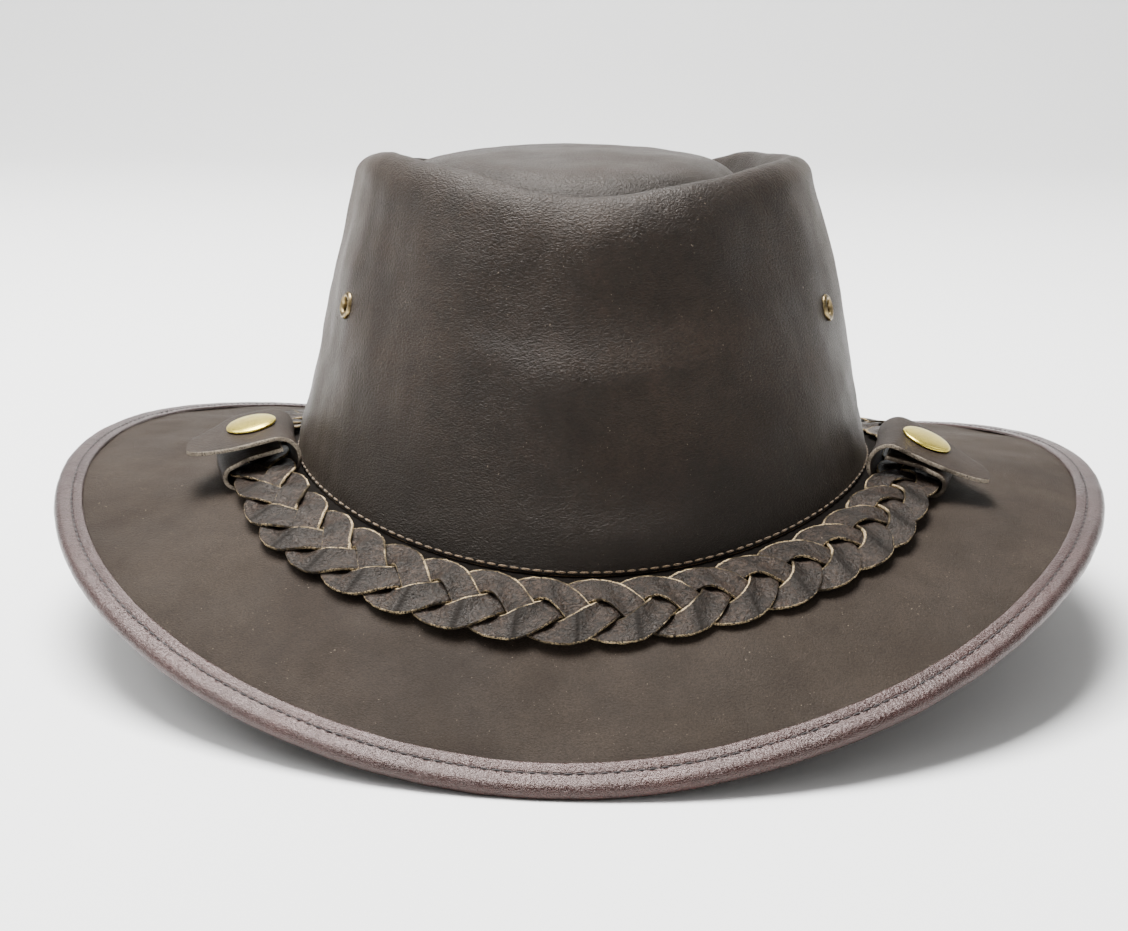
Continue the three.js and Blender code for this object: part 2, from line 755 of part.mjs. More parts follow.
// The origin is under the middle of the whole hat, on the surface that it rests on.
const hat = new THREE.Group();
hat.add(leaning);
hat.updateMatrixWorld(true);
const box = new THREE.Box3().setFromObject(hat, true);
hat.position.set(-(box.min.x + box.max.x) / 2, -(box.min.y + box.max.y) / 2, -box.min.z);
hat.updateMatrixWorld(true);

export default hat;
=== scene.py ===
"""A leather hat with a plaited band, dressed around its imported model.

The hat's shapes are worked out in millimetres in the hat's own frame, where the seam of
crown and brim is level with the origin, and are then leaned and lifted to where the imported
model rests. Azimuths run from 0 at the front through 90 at +X and 180 at the back.
"""

import bpy
import numpy as np
from mathutils import Matrix, Vector


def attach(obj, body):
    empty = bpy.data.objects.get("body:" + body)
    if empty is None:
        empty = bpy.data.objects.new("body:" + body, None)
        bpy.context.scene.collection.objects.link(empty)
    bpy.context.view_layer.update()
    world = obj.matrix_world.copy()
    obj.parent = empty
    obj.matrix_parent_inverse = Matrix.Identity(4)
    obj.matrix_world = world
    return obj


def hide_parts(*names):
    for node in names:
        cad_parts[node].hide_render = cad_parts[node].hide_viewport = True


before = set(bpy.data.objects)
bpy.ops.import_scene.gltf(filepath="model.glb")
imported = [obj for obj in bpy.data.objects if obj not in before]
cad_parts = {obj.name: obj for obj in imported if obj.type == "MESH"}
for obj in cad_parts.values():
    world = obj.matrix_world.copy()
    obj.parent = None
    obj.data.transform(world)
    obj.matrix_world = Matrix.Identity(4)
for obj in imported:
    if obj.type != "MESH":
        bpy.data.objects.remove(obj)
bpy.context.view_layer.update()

TURN = 2 * np.pi
MM = 0.001


def table(names, *rows):
    """Rows of values, each under its name."""
    return [dict(zip(names.split(), row)) for row in rows]


# Camera, at the photograph's angle

PHOTO_WIDTH = 1128
FOCAL_PIXELS = 2070
SENSOR = 36
CAMERA_TARGET = Vector((-0.00475, -0.00268, 0.0429))
CAMERA_DISTANCE = 0.65
CAMERA_ELEVATION = np.radians(13.86)
CAMERA_YAW = np.radians(0.9)
CAMERA_ROLL = np.radians(0.58)


def make_camera():
    level = np.cos(CAMERA_ELEVATION)
    back = Vector((np.sin(CAMERA_YAW) * level, -np.cos(CAMERA_YAW) * level, np.sin(CAMERA_ELEVATION)))
    flat_right = Vector((np.cos(CAMERA_YAW), np.sin(CAMERA_YAW), 0))
    flat_up = back.cross(flat_right)
    right = flat_right * np.cos(CAMERA_ROLL) + flat_up * np.sin(CAMERA_ROLL)
    up = back.cross(right)
    turn = Matrix((right, up, back)).transposed().to_4x4()
    data = bpy.data.cameras.new("camera")
    data.sensor_width = SENSOR
    data.lens = FOCAL_PIXELS * SENSOR / PHOTO_WIDTH
    data.clip_start = 0.01
    camera = bpy.data.objects.new("camera", data)
    camera.matrix_world = Matrix.Translation(CAMERA_TARGET + back * CAMERA_DISTANCE) @ turn
    bpy.context.scene.collection.objects.link(camera)
    bpy.context.scene.camera = camera


make_camera()

# Sizes of the hat, in millimetres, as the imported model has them

CROWN_LEATHER = 2
BRIM_LEATHER = 2
BINDING_LEATHER = 1
KEEPER_LEATHER = 1.3
GAP = 0.3
WRAP_GAP = 0.42
HEAD_HALF_WIDTH = 83.8
HEAD_HALF_LENGTH = 100.5
SEAM_SADDLE = 7.9
SEAM_OFFSET = 0.8
COLLAR_HEIGHT = 9
CROWN_HEIGHT = 98
TOP_HALF_WIDTH = 69
TOP_HALF_LENGTH = 82
RIM_RADIUS = 5
RIM_WIDTH = 12
GROOVE_DEPTH = 12
PILLOW_HEIGHT = 100
PILLOW_OFFSET = 5
BRIM_WIDTH = 70
BRIM_CURVE = 0.2
BINDING_ABOVE = 6.4
BINDING_BELOW = 6
REST_FLAT_DEPTH = 0.35
BAND_HALF_WIDTH = 11.65
PLAIT_HALF_HEIGHT = 3.6
PLAIT_TURNS = 16
PLAIT_SQUEEZE = 0.82
PLAIT_PRESS = 0.8
KEEPER_AZIMUTH = np.radians(74)
KEEPER_WIDTH = 31
KEEPER_SLACK = 0.42
BEND_SLACK = 1.2
STRAP_DIP = 1.4
KEEPER_SPREAD = np.radians(18)
KEEPER_OVERLAP = 0.6
KEEPER_FLAT = 0.3
STRAP_RISE = 0.7
TONGUE_SKEW = 0.7
CAP_RADIUS = 7.5
CAP_HEIGHT = 1.8
STUD_RADIUS = 4
STUD_HEIGHT = 0.55
STUD_INSET = 1
EYELET_HEIGHT = 56
EYELET_RADIUS = 4
EYELET_BORE = 2.1
EYELET_BARREL = 0.5
EYELET_GAP = 0.55
BARREL_RADIUS = EYELET_BORE + EYELET_BARREL

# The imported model's sections and the turns of its binding's roll, from which its resting lean
# is worked out.
CAD_SECTIONS = 48
CAD_AZIMUTHS = np.arange(CAD_SECTIONS) / CAD_SECTIONS * TURN
CAD_ROLL = np.radians([60, 20, -20, -60])

# The two sides: keeper and eyelet azimuths, how far out the cap sits, the space under the
# flap there, how much the flap rises outwards, the tongue's length and the rise of its tip.
SIDES = {
    "left": {"keeper": -KEEPER_AZIMUTH, "eyelet": np.radians(-61), "cap": 0, "space": 2.7,
             "rise": -0.5, "tongue": 8.5, "tip": 1.2},
    "right": {"keeper": KEEPER_AZIMUTH, "eyelet": np.radians(67), "cap": 2.5, "space": 1.7,
              "rise": -3, "tongue": 11.5, "tip": 1.5},
}

# Shape round the hat at each 30 degrees from the front: the brim's drop and reach as shares
# of its width, the plait's clearance in millimetres, the rim's height as a share of the
# crown's, and the groove's place and depth as shares of the rim's width and its depth.
AROUND = {
    "drop": (0.55, 0.42, 0.21, 0.09, 0.075, 0.15, 0.36, 0.1, 0.03, 0.09, 0.275, 0.48),
    "reach": (0.978, 0.965, 0.97, 0.99, 0.995, 1, 1, 1, 1.01, 1.02, 1.012, 0.98),
    "band": (3.9, 4, 4.2, 4.3, 4.2, 4, 3.9, 3.4, 2.8, 2.7, 2.8, 3.4),
    "top": (0.92, 0.955, 1, 1, 0.985, 0.93, 0.89, 0.92, 0.955, 0.985, 1.01, 0.98),
    "rim": (1, 1.1, 1.5, 1.6, 1.5, 1.1, 1, 1, 1, 1, 1, 1),
    "groove": (0.7, 0.85, 1, 1, 1, 0.85, 0.7, 0.85, 1, 1, 1, 0.85),
}


def around(column, azimuth):
    """A smooth curve through a column of the table."""
    rows = np.array(AROUND[column], float)
    place = np.mod(np.asarray(azimuth, float) / TURN, 1) * len(rows)
    row = np.floor(place).astype(int)
    f = place - row
    a, b, c, d = (rows[(row + offset) % len(rows)] for offset in (-1, 0, 1, 2))
    bend = (2 * a - 5 * b + 4 * c - d) * f ** 2
    turn_back = (3 * b - a - 3 * c + d) * f ** 3
    return 0.5 * (2 * b + (c - a) * f + bend + turn_back)


def vectors(x, y, z):
    return np.stack(np.broadcast_arrays(x, y, z), axis=-1).astype(float)


def unit(v):
    return v / np.linalg.norm(v, axis=-1, keepdims=True)


def lengths_along(line):
    """How far each point of a line is along it."""
    return np.concatenate([[0], np.cumsum(np.linalg.norm(np.diff(line, axis=0), axis=1))])


def from_front(azimuth):
    """The angle to the front, either way round."""
    return np.abs(np.arctan2(np.sin(azimuth), np.cos(azimuth)))


# Surfaces of the hat that its pieces are laid on

SEAM_INSET = BRIM_LEATHER + GAP + CROWN_LEATHER
SEAM_HALF_WIDTH = HEAD_HALF_WIDTH + SEAM_INSET
SEAM_HALF_LENGTH = HEAD_HALF_LENGTH + SEAM_INSET

# A small step of azimuth or of a share, over which directions are measured.
STEP = 0.01


def outward(azimuth, half_width=SEAM_HALF_WIDTH, half_length=SEAM_HALF_LENGTH):
    return unit(vectors(np.sin(azimuth) / half_width, -np.cos(azimuth) / half_length, 0))


def brim_reach(azimuth):
    return BRIM_WIDTH * around("reach", azimuth)


def on_brim(azimuth, out, lift=0.0):
    """Places over the brim: out from its seam along the leather, lift above its upper face."""
    azimuth, out, lift = np.broadcast_arrays(azimuth, out, np.asarray(lift, float))
    drop = around("drop", azimuth)
    level = np.sqrt(1 - drop ** 2)
    share = out / BRIM_WIDTH
    fall = BRIM_WIDTH * drop * ((1 - BRIM_CURVE) * share + BRIM_CURVE * share ** 2)
    slope = drop * (1 - BRIM_CURVE + 2 * BRIM_CURVE * share)
    away = outward(azimuth)
    normal = away * slope[..., None]
    normal[..., 2] = level
    seam = vectors(
        SEAM_HALF_WIDTH * np.sin(azimuth) + SEAM_OFFSET,
        -SEAM_HALF_LENGTH * np.cos(azimuth),
        -SEAM_SADDLE * np.cos(2 * azimuth),
    )
    point = seam + away * (out * level)[..., None]
    point[..., 2] -= fall
    return point + unit(normal) * lift[..., None]


def rim_height(azimuth):
    return CROWN_HEIGHT * around("top", azimuth)


def wall_point(azimuth, share):
    azimuth, share = np.broadcast_arrays(azimuth, np.asarray(share, float))
    base = on_brim(azimuth, 0, GAP)
    top = vectors(
        TOP_HALF_WIDTH * np.sin(azimuth),
        -TOP_HALF_LENGTH * np.cos(azimuth),
        rim_height(azimuth) - RIM_RADIUS,
    )
    return base + (top - base) * share[..., None]


def wall_normal(azimuth, share):
    along = wall_point(azimuth + STEP, share) - wall_point(azimuth - STEP, share)
    up = wall_point(azimuth, share + STEP) - wall_point(azimuth, share - STEP)
    return unit(np.cross(along, up))


def wall_share(azimuth, height):
    return height / (wall_point(azimuth, 1)[..., 2] - wall_point(azimuth, 0)[..., 2])


# Where the hat rests: leaned back until the lowest points of the binding's front and back
# both touch the floor, which flattens them a little.

EDGE_INNER = BRIM_LEATHER / 2 + WRAP_GAP
EDGE_OUTER = EDGE_INNER + BINDING_LEATHER


def edge_point(azimuth, out, lift):
    return on_brim(azimuth, brim_reach(azimuth) + out, lift - BRIM_LEATHER / 2)


def packed_binding():
    outs = [-BINDING_ABOVE, *(EDGE_OUTER * np.cos(CAD_ROLL)), -BINDING_BELOW]
    lifts = [EDGE_OUTER, *(EDGE_OUTER * np.sin(CAD_ROLL)), -EDGE_OUTER]
    return edge_point(CAD_AZIMUTHS[:, None], np.array(outs), np.array(lifts)).reshape(-1, 3)


def resting_place():
    points = packed_binding()
    feet = [points[points[:, 1] * side > 0] for side in (-1, 1)]
    front, back = (foot[foot[:, 2].argmin()] for foot in feet)
    lean = np.arctan2(front[2] - back[2], back[1] - front[1])
    turn = np.array(Matrix.Rotation(lean, 3, "X"))
    turned = points @ turn.T
    low, high = turned.min(0), turned.max(0)
    middle = (low + high) / 2
    return turn, np.array([-middle[0], -middle[1], -low[2] - REST_FLAT_DEPTH])


REST_TURN, REST_SHIFT = resting_place()


def placed(points):
    """Points of the hat's frame in the scene, in metres, none below the floor."""
    there = np.asarray(points, float).reshape(-1, 3) @ REST_TURN.T + REST_SHIFT
    there[:, 2] = np.maximum(there[:, 2], 0)
    return there * MM


# Mesh building

SHARP_ANGLE = np.radians(42)


def piece(name, points, faces, material, marks=None):
    """A closed mesh from points in the hat's frame, with its faces turned outwards. marks
    are named numbers, one for each point, that its material reads."""
    mesh = bpy.data.meshes.new(name)
    there = placed(points)
    fans = [(there[face[:, 0]], there[face[:, k]], there[face[:, k + 1]])
            for face in faces for k in range(1, face.shape[1] - 1)]
    volume = sum((a * np.cross(b, c)).sum() for a, b, c in fans)
    turned = [face if volume > 0 else face[:, ::-1] for face in faces]
    mesh.from_pydata(there.tolist(), [], [row for face in turned for row in face.tolist()])
    mesh.shade_smooth()
    mesh.set_sharp_from_angle(angle=SHARP_ANGLE)
    for mark, values in (marks or {}).items():
        layer = mesh.attributes.new(mark, "FLOAT", "POINT")
        layer.data.foreach_set("value", np.broadcast_to(values, len(there)).astype(np.float32))
    mesh.materials.append(material)
    made = bpy.data.objects.new(name, mesh)
    bpy.context.scene.collection.objects.link(made)
    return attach(made, "root")


def grid_faces(columns, rows, ring=True, loop=True, start=0):
    """Four-sided faces over a grid of points, closed round its columns or its rows."""
    i, j = np.meshgrid(np.arange(columns if ring else columns - 1),
                       np.arange(rows if loop else rows - 1), indexing="ij")
    i, j = i.ravel(), j.ravel()
    far, up = (i + 1) % columns, (j + 1) % rows
    return start + np.stack([i * rows + j, far * rows + j, far * rows + up, i * rows + up], 1)


def capped(columns, rows):
    """Faces of a bar with closed sections and a many-sided face at each end."""
    ends = np.arange(rows)[None]
    return [grid_faces(columns, rows, ring=False), ends[:, ::-1], ends + (columns - 1) * rows]


RIPPLE_WAVES = 28
RIPPLE_SPREAD = (0.5, 1.3)


def ripple(points, size, seed):
    """Smooth seeded unevenness between about -1 and 1, with bumps of about that size."""
    chance = np.random.default_rng(seed)
    ways = unit(chance.normal(size=(RIPPLE_WAVES, 3))) * (TURN / size)
    ways = ways * chance.uniform(*RIPPLE_SPREAD, (RIPPLE_WAVES, 1))
    starts = chance.uniform(0, TURN, RIPPLE_WAVES)
    return np.sin(np.asarray(points) @ ways.T + starts).sum(-1) / np.sqrt(RIPPLE_WAVES)


def uneven(points, waves):
    """Unevenness made of waves of some depth and size, in millimetres."""
    return sum(wave["depth"] * ripple(points, wave["size"], wave["seed"]) for wave in waves)


def smooth(low, high, value):
    t = np.clip((value - low) / (high - low), 0, 1)
    return t * t * (3 - 2 * t)


# Materials

class Surface:
    """A node material built up from textures in object space, in metres."""

    def __init__(self, name, **sockets):
        self.material = bpy.data.materials.new(name)
        self.material.use_nodes = True
        self.tree = self.material.node_tree
        self.shader = self.tree.nodes["Principled BSDF"]
        for socket, value in sockets.items():
            self.shader.inputs[socket.replace("_", " ")].default_value = value
        self.place = self.node("ShaderNodeTexCoord").outputs["Object"]

    def node(self, kind, inputs=None, **settings):
        made = self.tree.nodes.new(kind)
        for key, value in settings.items():
            setattr(made, key, value)
        for key, value in (inputs or {}).items():
            if isinstance(value, bpy.types.NodeSocket):
                self.tree.links.new(value, made.inputs[key])
            else:
                made.inputs[key].default_value = value
        return made

    def link(self, value, socket):
        self.tree.links.new(value, self.shader.inputs[socket])

    def strip_place(self, stretch):
        """A place from the marks along and across a strip, stretched across it."""
        along = self.maths("MULTIPLY", self.mark("along"), MM)
        across = self.maths("MULTIPLY", self.mark("across"), MM * stretch)
        slanted = self.maths("ADD", along, across)
        return self.node("ShaderNodeCombineXYZ", {0: slanted, 1: across}).outputs[0]

    def noise(self, size, detail, roughness, stretch=None, distortion=0.0, place=None):
        place = place or self.place
        if stretch is not None:
            place = self.node("ShaderNodeMapping", {0: place, 3: stretch}).outputs[0]
        return self.node("ShaderNodeTexNoise", {
            "Vector": place, "Scale": 1 / (size * MM), "Detail": detail,
            "Roughness": roughness, "Distortion": distortion}).outputs["Fac"]

    def mark(self, name):
        return self.node("ShaderNodeAttribute", attribute_name=name).outputs["Fac"]

    def ramp(self, value, low, high, start=0.0, end=1.0):
        return self.node("ShaderNodeMapRange", {
            "Value": value, "From Min": low, "From Max": high, "To Min": start, "To Max": end},
            interpolation_type="SMOOTHSTEP").outputs[0]

    def mix(self, share, a, b):
        return self.node("ShaderNodeMix", {0: share, 6: a, 7: b}, data_type="RGBA").outputs[2]

    def maths(self, operation, a, b):
        return self.node("ShaderNodeMath", {0: a, 1: b}, operation=operation).outputs[0]

    def bump(self, height, depth, below=None):
        inputs = {"Height": height, "Distance": depth * MM, "Strength": 1.0}
        if below is not None:
            inputs["Normal"] = below
        return self.node("ShaderNodeBump", inputs).outputs[0]


def colour(red, green, blue):
    """A linear colour from screen values of 0 to 255."""
    shares = [value / 255 for value in (red, green, blue)]
    linear = [((share + 0.055) / 1.055) ** 2.4 if share > 10 / 255 else share / 12.92 for share in shares]
    return (*linear, 1)


WARM_SHINE = (1.0, 0.91, 0.82, 1)
ROSY_SHINE = (1.0, 0.82, 0.77, 1)
WARM_DUST = (1.0, 0.82, 0.64, 1)
# Near black brown, for the grain's pits and for painted shade at the mark "shade".
PIT_AND_SHADE_DARK = colour(14, 11, 9)
SPECK = colour(120, 108, 94)
SKIN_RELIEF = 0.2
RAW_RELIEF = 0.25


def leather(name, dark, light, grain, depth, shine, flecks, level, raw=None, mottle=38, cloudy=0.35,
            pits=0.4, wrinkles=0.0, tint=WARM_SHINE, dust=0.0):
    """Oiled leather: soft mottling, a pebbled grain, small pale flecks, its raw cut edges
    wherever the mark "raw" says so, painted shade at the mark "shade", and wrinkles across the
    marks "along" and "across". Grain, mottle and depth are in millimetres."""
    surface = Surface(name, Specular_IOR_Level=level, Specular_Tint=tint, Sheen_Weight=dust,
                      Sheen_Roughness=0.35, Sheen_Tint=WARM_DUST)
    patches = surface.ramp(surface.noise(mottle, 4, 0.55, distortion=0.6), 0.3, 0.7)
    tone = surface.mix(patches, dark, light)
    cloud = surface.ramp(surface.noise(mottle / 6, 5, 0.62), 0.32, 0.68)
    tone = surface.mix(cloudy, tone, surface.mix(cloud, dark, light))
    pebbles = surface.noise(grain, 2, 0.55, stretch=(1, 1, 1.9), distortion=0.5)
    fine = surface.noise(grain * 0.4, 3, 0.6)
    tone = surface.mix(surface.ramp(pebbles, 0.35, 0.62, pits, 0.0), tone, PIT_AND_SHADE_DARK)
    specks = surface.ramp(surface.noise(0.6, 1, 0.4), 0.72, 0.8, 0, flecks)
    sparse = surface.ramp(surface.noise(9, 2, 0.5), 0.42, 0.7)
    tone = surface.mix(surface.maths("MULTIPLY", specks, sparse), tone, SPECK)
    # Painted shade: the mark "shade" darkens the colour towards near black and roughens the leather there.
    shade = surface.mark("shade")
    tone = surface.mix(shade, tone, PIT_AND_SHADE_DARK)
    gloss = surface.ramp(surface.noise(24, 3, 0.5), 0.3, 0.7, shine[1], shine[0])
    rough = surface.maths("ADD", gloss, surface.ramp(fine, 0.3, 0.7, -0.05, 0.06))
    rough = surface.maths("MAXIMUM", rough, surface.ramp(shade, 0.5, 1, 0, 0.95))
    normal = surface.bump(surface.noise(8, 3, 0.5), SKIN_RELIEF)
    normal = surface.bump(pebbles, depth * 3, normal)
    normal = surface.bump(fine, depth, normal)
    if wrinkles:
        folded = surface.noise(1.1, 2, 0.55, place=surface.strip_place(0.3), distortion=1.2)
        normal = surface.bump(folded, wrinkles, normal)
    if raw is not None:
        fibre = surface.noise(0.5, 4, 0.7)
        edge = surface.maths("ADD", surface.mark("raw"), surface.ramp(fibre, 0.2, 0.8, -0.3, 0.3))
        cut = surface.ramp(edge, 0.4, 0.6)
        worn = surface.ramp(surface.noise(8, 2, 0.5), 0.38, 0.58, 0.08, 1.0)
        pale = surface.mix(surface.maths("MULTIPLY", surface.ramp(fibre, 0.3, 0.55), worn), dark, raw)
        tone = surface.mix(cut, tone, pale)
        rough = surface.maths("MAXIMUM", rough, surface.ramp(cut, 0, 1, 0, 0.9))
        normal = surface.bump(surface.maths("MULTIPLY", fibre, cut), RAW_RELIEF, normal)
    surface.link(tone, "Base Color")
    surface.link(rough, "Roughness")
    surface.link(normal, "Normal")
    return surface.material


def metal(name, pale, dark, rough, tarnish):
    surface = Surface(name, Metallic=1.0)
    stain = surface.ramp(surface.noise(2.5, 4, 0.6), 0.35, 0.7, 0, tarnish)
    fine = surface.noise(0.35, 3, 0.6)
    surface.link(surface.mix(stain, pale, dark), "Base Color")
    surface.link(surface.ramp(fine, 0.3, 0.7, rough, rough + 0.14), "Roughness")
    surface.link(surface.bump(fine, 0.006), "Normal")
    return surface.material


def thread(name, shade, pale):
    """Sewing thread: a twist of fine yarns."""
    surface = Surface(name, Sheen_Weight=0.3, Roughness=0.75)
    yarn = surface.noise(0.3, 2, 0.5)
    surface.link(surface.mix(surface.ramp(yarn, 0.35, 0.65), shade, pale), "Base Color")
    surface.link(surface.bump(yarn, 0.08), "Normal")
    return surface.material


CROWN_SKIN = leather("crown_leather", colour(22, 16, 13), colour(45, 35, 28), raw=colour(104, 84, 62),
                     grain=0.85, depth=0.12, shine=(0.38, 0.52), flecks=1.0, pits=0.6, level=0.24,
                     dust=0.07)
BRIM_SKIN = leather("brim_leather", colour(38, 31, 26), colour(54, 46, 39), grain=0.55, depth=0.08,
                    shine=(0.6, 0.7), flecks=1.0, mottle=60, level=0.12, dust=0.03)
BINDING_SKIN = leather("binding_leather", colour(32, 12, 11), colour(50, 23, 20), grain=0.6, depth=0.09,
                       shine=(0.2, 0.28), flecks=0, wrinkles=0.18, level=0.65, tint=ROSY_SHINE)
PLAIT_SKIN = leather("plait_leather", colour(10, 7, 5), colour(68, 55, 46), raw=colour(204, 180, 140),
                     grain=0.9, depth=0.2, shine=(0.3, 0.48), flecks=1.0, mottle=11, cloudy=0.65,
                     pits=0.9, level=0.2)
KEEPER_SKIN = leather("keeper_leather", colour(36, 28, 23), colour(54, 44, 36), raw=colour(158, 146, 130),
                      grain=0.7, depth=0.06, shine=(0.45, 0.58), flecks=0.5, level=0.18)
SNAP_BRASS = metal("snap_brass", colour(250, 228, 112), colour(206, 176, 80), 0.2, 0.35)
EYELET_BRASS = metal("eyelet_brass", colour(170, 150, 108), colour(70, 58, 40), 0.3, 1.0)
DARK_THREAD = thread("dark_thread", colour(12, 8, 7), colour(32, 21, 19))
TAN_THREAD = thread("tan_thread", colour(58, 44, 30), colour(136, 111, 79))

# Crown

CROWN_COLUMNS = 480
WALL_SHARES = np.concatenate([[0, 0.004, 0.01], np.linspace(0.03, 1, 40)])
RIM_ROWS = 14
FLANK_ROWS = 12
PILLOW_ROWS = 26

# How the pillow falls from its middle: the shares of a soft dome and of its shoulder.
PILLOW_DOME = 0.33
PILLOW_SHOULDER = 0.67
SHOULDER_POWER = 12
POLE_RISE = 0.1

# The leather's waves, the share of the wall over which they fade in from its foot, and the
# slant of the cut there.
CROWN_WAVES = table("depth size seed", (0.35, 34, 3), (0.12, 11, 4))
CROWN_CALM = 0.08
FOOT_CUT = 0.25
HOLE_SIDES = 24

# Stitches round the crown's foot: how many, their length and thickness, and their height as
# a share of the wall.
CROWN_STITCHES = 176
CROWN_STITCH_LENGTH = 2.9
CROWN_THREAD = 0.65
CROWN_SEAM = 0.011

# Painted shade from the middle of the wall down to its foot, and in the groove round the pillow.
CROWN_FOOT_SHADE = 0.75
FOOT_SHADE_TOP = 0.5
GROOVE_SHADE = 0.65

# Soft dents of the crown's wall: azimuth in degrees, height above the seam as a share of
# the wall, width in degrees, height as a share, and depth in millimetres (a bulge is
# negative).
DENTS = table(
    "azimuth height wide tall depth",
    (6, 0.1, 13, 0.07, -1.4),
    (18, 0.3, 14, 0.14, 1.3),
    (2, 0.54, 24, 0.09, -1.9),
    (14, 0.74, 16, 0.1, 1.3),
    (-34, 0.5, 12, 0.3, -1.1),
    (34, 0.6, 10, 0.1, -0.8),
    (150, 0.5, 25, 0.2, 1.2),
    (-140, 0.4, 22, 0.2, -1.1),
    (88, 0.55, 26, 0.3, -1.3),
)

# Shares of the wall's height between which the dents are full.
DENTS_FROM = 0.12
DENTS_TO = 0.85


def dent_depth(azimuth, share):
    depth = 0
    for dent in DENTS:
        turned = np.mod(np.degrees(azimuth) - dent["azimuth"] + 180, 360) - 180
        depth = depth + dent["depth"] * np.exp(
            -(turned / dent["wide"]) ** 2 - ((share - dent["height"]) / dent["tall"]) ** 2)
    return depth


# How much larger the crown's edge is rounded at the front than elsewhere, down its wall and
# inwards, as shares of the rim's radius, and how far round from the front, in degrees.
FRONT_ROUND_DOWN = 2.0
FRONT_ROUND_IN = 0.3
FRONT_ROUND_SPAN = 42


def crown_surface(azimuth):
    """Columns of the crown's outer face, from the seam over the rim to the pillow."""
    turn = azimuth[:, None]
    rim = rim_height(turn)
    away = outward(turn, TOP_HALF_WIDTH, TOP_HALF_LENGTH)
    foot, top = wall_point(turn, 0.0)[..., 2], rim - RIM_RADIUS
    front = np.exp(-(np.degrees(from_front(turn)) / FRONT_ROUND_SPAN) ** 2)
    down = RIM_RADIUS * (1 + FRONT_ROUND_DOWN * front)
    inwards = RIM_RADIUS * (1 + FRONT_ROUND_IN * front)
    share = WALL_SHARES[None] * (rim - down - foot) / (top - foot)
    fade = smooth(0, DENTS_FROM, share) * smooth(1, DENTS_TO, share)
    dents = dent_depth(turn, share) * fade
    wall = wall_point(turn, share) - wall_normal(turn, share) * dents[..., None]
    bend = np.pi / 2 * np.arange(1, RIM_ROWS + 1)[None] / RIM_ROWS
    height = rim - down * (1 - np.sin(bend))
    inset = inwards * (1 - np.cos(bend))
    over = wall_point(turn, (height - foot) / (top - foot)) - away * inset[..., None]
    width = RIM_WIDTH * around("rim", turn)
    groove = rim - GROOVE_DEPTH * around("groove", turn)
    bottom = wall_point(turn, 1.0) - away * width[..., None]
    t = np.arange(1, FLANK_ROWS + 1)[None] / FLANK_ROWS
    flank = over[:, -1:] + (bottom - over[:, -1:]) * t[..., None]
    flank[..., 2] = rim - (rim - groove) * (1 - np.cos(np.pi * t)) / 2
    middle = np.array([-PILLOW_OFFSET, 0, PILLOW_HEIGHT])
    out = (1 - np.arange(1, PILLOW_ROWS)[None] / PILLOW_ROWS) * np.ones_like(turn)
    pillow = middle + (flank[:, -1:] - middle) * out[..., None]
    rise = 1 - PILLOW_DOME * out ** 2 - PILLOW_SHOULDER * out ** SHOULDER_POWER
    pillow[..., 2] = groove + (PILLOW_HEIGHT - groove) * rise
    return np.concatenate([wall, over, flank, pillow], axis=1)


def surface_normals(grid):
    along = np.roll(grid, -1, 0) - np.roll(grid, 1, 0)
    return unit(np.cross(along, np.gradient(grid, axis=1)))


def make_crown():
    azimuth = np.arange(CROWN_COLUMNS) / CROWN_COLUMNS * TURN
    outer = crown_surface(azimuth)
    rows = outer.shape[1]
    height = np.concatenate([WALL_SHARES, np.ones(rows - len(WALL_SHARES))])
    calm = smooth(0, CROWN_CALM, height)[None, :, None]
    normals = surface_normals(outer)
    outer = outer + normals * uneven(outer, CROWN_WAVES)[..., None] * calm
    inner = outer - surface_normals(outer) * CROWN_LEATHER
    inner[:, 0] = on_brim(azimuth, -CROWN_LEATHER / np.sqrt(1 - around("drop", azimuth) ** 2), GAP)
    outer[:, 0] -= normals[:, 0] * FOOT_CUT
    columns = np.concatenate([inner[:, ::-1], outer], axis=1)
    points = columns.reshape(-1, 3)
    middle = np.array([-PILLOW_OFFSET, 0, PILLOW_HEIGHT + POLE_RISE])
    poles = len(points)
    points = np.concatenate([points, [middle - [0, 0, CROWN_LEATHER], middle]])
    count = columns.shape[1]
    near = np.arange(CROWN_COLUMNS) * count
    far = np.roll(near, -1)
    fans = [np.stack([np.full_like(near, poles), far, near], 1),
            np.stack([np.full_like(near, poles + 1), near + count - 1, far + count - 1], 1)]
    raw = np.zeros((CROWN_COLUMNS, count))
    raw[:, rows - 1:rows + 1] = 1
    # Painted shade in the groove round the pillow, and darker towards the wall's foot.
    past_rim = np.arange(rows) - len(WALL_SHARES) - RIM_ROWS
    in_groove = GROOVE_SHADE * smooth(0, 5, past_rim) * smooth(FLANK_ROWS + 6, FLANK_ROWS, past_rim)
    outside = np.maximum(CROWN_FOOT_SHADE * smooth(FOOT_SHADE_TOP, 0, height), in_groove)
    painted_shade = np.broadcast_to(np.concatenate([outside[::-1], outside]), raw.shape)
    marks = {"raw": np.concatenate([raw.ravel(), [0, 0]]),
             "shade": np.concatenate([painted_shade.ravel(), [0, 0]])}
    faces = [grid_faces(CROWN_COLUMNS, count, loop=False), *fans]
    crown = piece("crown_shell", points, faces, CROWN_SKIN, marks)
    for side in SIDES.values():
        cut_round_hole(crown, side["eyelet"])
    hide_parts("crown")


def lathe_points(profile, sides):
    """A turned form round the +Z axis: rows of radius and height, closed on themselves."""
    turn = np.arange(sides)[:, None] / sides * TURN
    radius, height = np.array(profile, float).T
    return vectors(radius * np.sin(turn), radius * np.cos(turn), height * np.ones_like(turn)).reshape(-1, 3)


